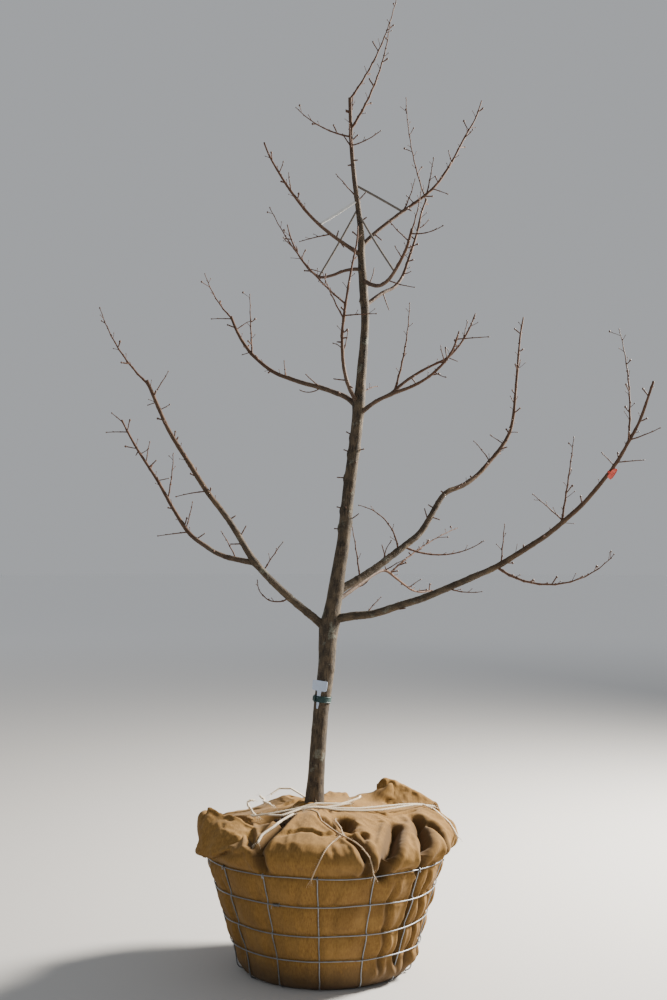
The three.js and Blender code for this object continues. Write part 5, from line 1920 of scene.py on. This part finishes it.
def lath_finish(name, pale, dark, greyed):
    """Split softwood: fine grain lines along the strip, brown bands and grey patches of weather."""
    finish = Finish(name, 0.3)
    lengthwise = finish.stretched(finish.attribute("grain"), (1, 1, 0.05))
    lines = finish.clouds(lengthwise, 800, 3, 0.6)
    bands = finish.clouds(lengthwise, 150, 2)
    patches = finish.spots(40, 4)
    colour = finish.blend(lines, dark, pale)
    colour = finish.blend(finish.rise(bands, 0.55, 0.75) * 0.5, colour, tuple(value * 0.7 for value in dark))
    colour = finish.blend(finish.rise(patches, 0.5, 0.7) * 0.4, colour, greyed)
    return finish.shade(
        Base_Color=colour, Roughness=0.66 + lines * 0.2, Normal=finish.bump(lines + bands, 0.0005),
    )


bleached = lath_finish("bleached lath", (0.93, 0.92, 0.88), (0.76, 0.74, 0.69), (0.66, 0.65, 0.62))
# The thin laths' darker grey-brown copy of the finish is painted shade.
weather_and_shade = lath_finish("weathered lath", (0.19, 0.165, 0.14), (0.085, 0.070, 0.058), (0.12, 0.118, 0.112))
BLEACHED_FROM = 10
BLEACHED_ROLL = -52


def seen_from_trunk(height):
    """Where the trunk's middle is at a height, how thick it is there and which way is along it."""
    along = trunk.path.distance_at_height(height)
    return trunk.path.at(along), trunk.diameter_at(along), trunk.path.direction_at(along)


def round_off(bm, geom, offset, segments, affect):
    """Edges or corners made round."""
    bmesh.ops.bevel(bm, geom=geom, offset=offset, segments=segments, profile=0.5, affect=affect, material=-1)


def lath_piece(height, limb_name, along, wide):
    """A strip from the trunk's skin to the bough's, with its flat side along the trunk."""
    start, thick, _ = seen_from_trunk(height)
    limb = limbs[limb_name]
    ahead = limb.path.at(along) - start
    whole = np.linalg.norm(ahead)
    ahead = ahead / whole
    first = thick / 2 - 1
    length = whole - first - limb.diameter_at(along) / 2 + 1
    bm = bmesh.new()
    bmesh.ops.create_cube(bm, size=1)
    for axis, cuts in ((2, 24), (0, 1)):
        edges = [edge for edge in bm.edges if abs(edge.verts[0].co[axis] - edge.verts[1].co[axis]) > 0.5]
        bmesh.ops.subdivide_edges(bm, edges=edges, cuts=cuts, use_grid_fill=True)
    for vert in bm.verts:
        if abs(vert.co.z) > 0.49 and abs(vert.co.x) < 0.01:
            vert.co.z -= math.copysign(0.35 * wide / length, vert.co.z)
        vert.co = Vector((vert.co.x * wide, vert.co.y * LATH_THICK * 0.8, (vert.co.z + 0.5) * length))
    corners = [edge for edge in bm.edges if edge.calc_face_angle(0) > 0.7]
    round_off(bm, corners, 0.5, 2, "EDGES")
    mesh = mesh_of(bm, "lath", outward=True)
    plain = read_places(mesh)
    flat = unit(np.cross(ahead, (0, 0, 1.0)))
    # The thin laths take the darker finish, which is painted shade.
    finish, roll = (bleached, math.radians(BLEACHED_ROLL)) if wide > BLEACHED_FROM else (weather_and_shade, 0)
    flat = flat * math.cos(roll) + np.cross(flat, ahead) * math.sin(roll)
    wide_way = np.cross(flat, ahead)
    bow = LATH_BOW * length * np.sin(math.pi * plain[:, 2] / length)
    chips = roughly(plain * (1, 1, 0.25), 9, 2) * 0.35
    places = start + ahead * (plain[:, 2:] + first) + wide_way * (plain[:, :1] * (1 + chips[:, None] * 0.08))
    places = places + flat * (plain[:, 1:2] + (bow + chips)[:, None])
    write_places(mesh, places)
    write_vectors(mesh, "grain", plain * MM)
    name = "spreader_" + limb_name
    return place_piece(name + "_lath", mesh, finish, "lath", name, crease=35)


laths = [lath_piece(*row) for row in LATH_ENDS]
print("laths:", [lath.name for lath in laths])

# %% [markdown]
# ## The name label and its strap
#
# Nurseries tie a flat plastic T to the trunk: its foot goes under a soft rubber strap and its head is for
# writing on. This one is left blank. It is stamped from sheet, so its corners are round and it curls a little
# round the trunk; the strap is a moulded band with a raised rim and a short tongue beside its buckle.

# %% Label and strap
LABEL = {
    "height": 1006, "turn": 22, "aside": -4, "head_wide": 58, "head_tall": 37, "foot_wide": 16, "tip_wide": 6,
    "long": 102, "thick": 1.2,
}
STRAP = {"height": 958, "tall": 22, "thick": 4.6}
BUCKLE_AT = 110
GAP = 0.3


def cut_at(bm, axis, places):
    """Cuts across everything at places on one axis."""
    across = np.eye(3)[axis]
    for place in places:
        everything = bm.faces[:] + bm.edges[:] + bm.verts[:]
        bmesh.ops.bisect_plane(bm, geom=everything, plane_co=across * place, plane_no=across)


def label_mesh():
    """A flat T of two plates with round corners, cut from one sheet; placing it curls it a little."""
    bm = bmesh.new()
    half_head, half_foot, top = LABEL["head_wide"] / 2, LABEL["foot_wide"] / 2, LABEL["head_tall"] / 2
    under, bottom = -top, top - LABEL["long"]
    bmesh.ops.create_grid(bm, x_segments=1, y_segments=1, size=1)
    for vert in bm.verts:
        vert.co = Vector((vert.co.x * half_head, top if vert.co.y > 0 else under, 0))
    cut_at(bm, 0, (-half_foot, half_foot))
    low = {v for v in bm.verts if v.co.y < under + 0.1 and abs(v.co.x) < half_foot + 0.1}
    lowest = [edge for edge in bm.edges if low.issuperset(edge.verts)]
    foot = bmesh.ops.extrude_edge_only(bm, edges=lowest)["geom"]
    for vert in foot:
        if isinstance(vert, bmesh.types.BMVert):
            vert.co.y = bottom
            vert.co.x *= LABEL["tip_wide"] / LABEL["foot_wide"]
    for low_side, offset in ((False, 3.5), (True, 8)):
        corners = [v for v in bm.verts if abs(v.co.x) > half_head - 0.1 and (v.co.y < 0) == low_side]
        round_off(bm, corners, offset, 5, "VERTICES")
    round_off(bm, [vert for vert in bm.verts if vert.co.y < bottom + 0.1], 2.6, 4, "VERTICES")
    cut_at(bm, 1, np.arange(bottom + 4, top, 4))
    cut_at(bm, 0, np.arange(4 - half_head, half_head, 4))
    bmesh.ops.remove_doubles(bm, verts=bm.verts, dist=0.05)
    bmesh.ops.solidify(bm, geom=bm.faces[:], thickness=LABEL["thick"])
    return mesh_of(bm, "label", outward=True)


def place_label():
    mesh = label_mesh()
    flat = read_places(mesh)
    flat[:, 2] -= flat[:, 2].min()
    middle, thick, along = seen_from_trunk(LABEL["height"])
    turn = math.radians(LABEL["turn"])
    front = square_to(along, np.array((-math.sin(turn), -math.cos(turn), 0)))
    right = np.cross(along, front)
    curl = 0.0035 * flat[:, 0] ** 2 + 0.0012 * np.maximum(0, flat[:, 1]) ** 2
    away = thick / 2 + GAP + flat[:, 2] + curl * (flat[:, 1] > -LABEL["head_tall"])
    places = middle + right * (flat[:, :1] + LABEL["aside"]) + along * flat[:, 1:2] + front * away[:, None]
    write_places(mesh, places)
    finish = Finish("blank label", 0.45)
    scuffs = finish.spots(180, 3)
    grime = finish.rise(finish.spots(45, 4), 0.5, 0.8)
    # Painted shade: a dull sky blue, darker than the label's own near white, as if lit by open sky.
    colour = finish.blend(grime * 0.4, (0.46, 0.54, 0.68), (0.40, 0.41, 0.42))
    material = finish.shade(
        Base_Color=colour, Roughness=0.36 + scuffs * 0.25, Normal=finish.bump(scuffs, 0.0001),
    )
    return place_piece("blank_name_label", mesh, material, "label", "name_label", crease=40)


def place_strap():
    """A band with a raised rim round the trunk, and the tongue beside its buckle."""
    middle, thick, along = seen_from_trunk(STRAP["height"])
    inner, half = thick / 2 + 0.2, STRAP["tall"] / 2
    outer = inner + STRAP["thick"] - 0.4
    lower = [(inner, -half), (outer - 0.8, -half), (outer, 1 - half), (outer, 3 - half), (outer - 0.9, 4 - half)]
    bm = bmesh.new()
    corners = [bm.verts.new((radius, 0, z)) for radius, z in lower]
    corners += [bm.verts.new((radius, 0, -z)) for radius, z in reversed(lower)]
    edges = [bm.edges.new(pair) for pair in zip(corners, corners[1:] + corners[:1])]
    spin_round(bm, corners + edges, 72)
    beside = Matrix.Rotation(math.radians(BUCKLE_AT), 4, "Z")
    tongue = ((outer + 1.0, 0, 0), (2.2, 17, STRAP["tall"] - 5, 1))
    buckle = ((outer + 1.6, 12, 0), (4, 7, STRAP["tall"] + 1, 1))
    for place, size in (tongue, buckle):
        shape = beside @ (Matrix.Translation(place) @ Matrix.Diagonal(size))
        block = bmesh.ops.create_cube(bm, size=1, matrix=shape)["verts"]
        rim = {edge for vert in block for edge in vert.link_edges}
        round_off(bm, list(rim), 0.8, 2, "EDGES")
    mesh = mesh_of(bm, "strap", outward=True)
    upright = Vector(along).to_track_quat("Z", "Y").to_matrix().to_4x4()
    mesh.transform(Matrix.Scale(MM, 4) @ Matrix.Translation(Vector(middle)) @ upright)
    finish = Finish("strap rubber", 0.4)
    dust = finish.rise(finish.spots(70, 4), 0.45, 0.75)
    pores = finish.spots(900, 2)
    material = finish.shade(
        Base_Color=finish.blend(dust * 0.45, (0.006, 0.034, 0.033), (0.050, 0.078, 0.072)),
        Roughness=0.5 + dust * 0.25, Normal=finish.bump(pores, 0.00015),
    )
    return place_piece("rubber_strap", mesh, material, "strap", "label_strap", crease=40)


label = place_label()
strap = place_strap()
print("label faces:", len(label.data.polygons), "strap faces:", len(strap.data.polygons))

# %% [markdown]
# ## Marking tape
#
# A turn of bright film marks the tree for its buyer. It is pulled narrow over the low limb, and below it the
# two ends spread out and are pressed together, so seen from its end it is a drop. It is one sheet, bent round
# the limb and given the film's thickness, with the shallow creases that a hand leaves.

# %% Tape
TAPE = {"wide": 42, "neck": 0.18, "slack": 6, "lip": 4, "clear": 1.0, "thick": 0.5}


def tape_piece():
    limb = limbs[TAPE_AT[0]]
    middle = limb.path.at(TAPE_AT[1])
    radius = limb.diameter_at(TAPE_AT[1]) / 2 + TAPE["clear"]
    ahead = limb.path.direction_at(TAPE_AT[1])
    front = square_to(ahead, np.array((0, -1.0, 0)))
    under = np.cross(ahead, front)

    def round_limb(across, along):
        """Across the sheet from one pressed end round the limb to the other, along it by the limb."""
        across, along = across[:, None], along[:, None]
        lip = np.clip((np.abs(across - 0.5) - 0.44) / 0.06, 0, 1)
        angle = 2 * math.pi * np.clip((across - 0.5) / 0.88, -0.5, 0.5)
        low = np.maximum(0, -np.cos(angle))
        crease = 0.8 * np.sin(11 * along + 5 * across) + 0.5 * np.sin(23 * along + 3 * angle)
        slack = low ** 4 * (TAPE["slack"] + 2 * np.sin(4 * along))
        depth = -np.cos(angle) * radius + slack + lip * TAPE["lip"]
        breadth = np.sin(angle) * radius * (1 - 0.35 * low ** 2) + np.sign(across - 0.5) * TAPE["thick"]
        spread = TAPE["neck"] + (1 - TAPE["neck"]) * low ** 0.3
        askew = (along - 0.5) * TAPE["wide"] * spread + 3 * low
        creased = under * (depth + crease * 0.5 * low)
        return middle + creased + front * (breadth + crease * 0.4) + ahead * askew

    mesh, _, places, normal, layer = bent_sheet("tape", 56, 16, TAPE["thick"], round_limb)
    write_places(mesh, places + normal * layer)
    finish = Finish("marking film", 0.5)
    creases = finish.clouds(finish.stretched(finish.place(), (1, 1, 0.4)), 260, 3)
    faded = finish.spots(60, 2)
    material = finish.shade(
        Base_Color=finish.blend(faded, (0.34, 0.020, 0.014), (0.60, 0.060, 0.026)),
        Roughness=0.30 + creases * 0.25, Normal=finish.bump(creases, 0.0007),
    )
    return place_piece("marking_tape_film", mesh, material, "tape", "marking_tape", crease=50)


tape = tape_piece()
print("tape faces:", len(tape.data.polygons))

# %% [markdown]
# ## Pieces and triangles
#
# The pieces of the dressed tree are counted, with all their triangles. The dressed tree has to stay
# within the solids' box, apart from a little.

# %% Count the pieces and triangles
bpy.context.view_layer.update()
pieces = [piece for piece in bpy.data.objects if piece.type == "MESH"]
triangles = sum(len(face.vertices) - 2 for piece in pieces for face in piece.data.polygons)
print("pieces:", len(pieces), "triangles:", triangles)
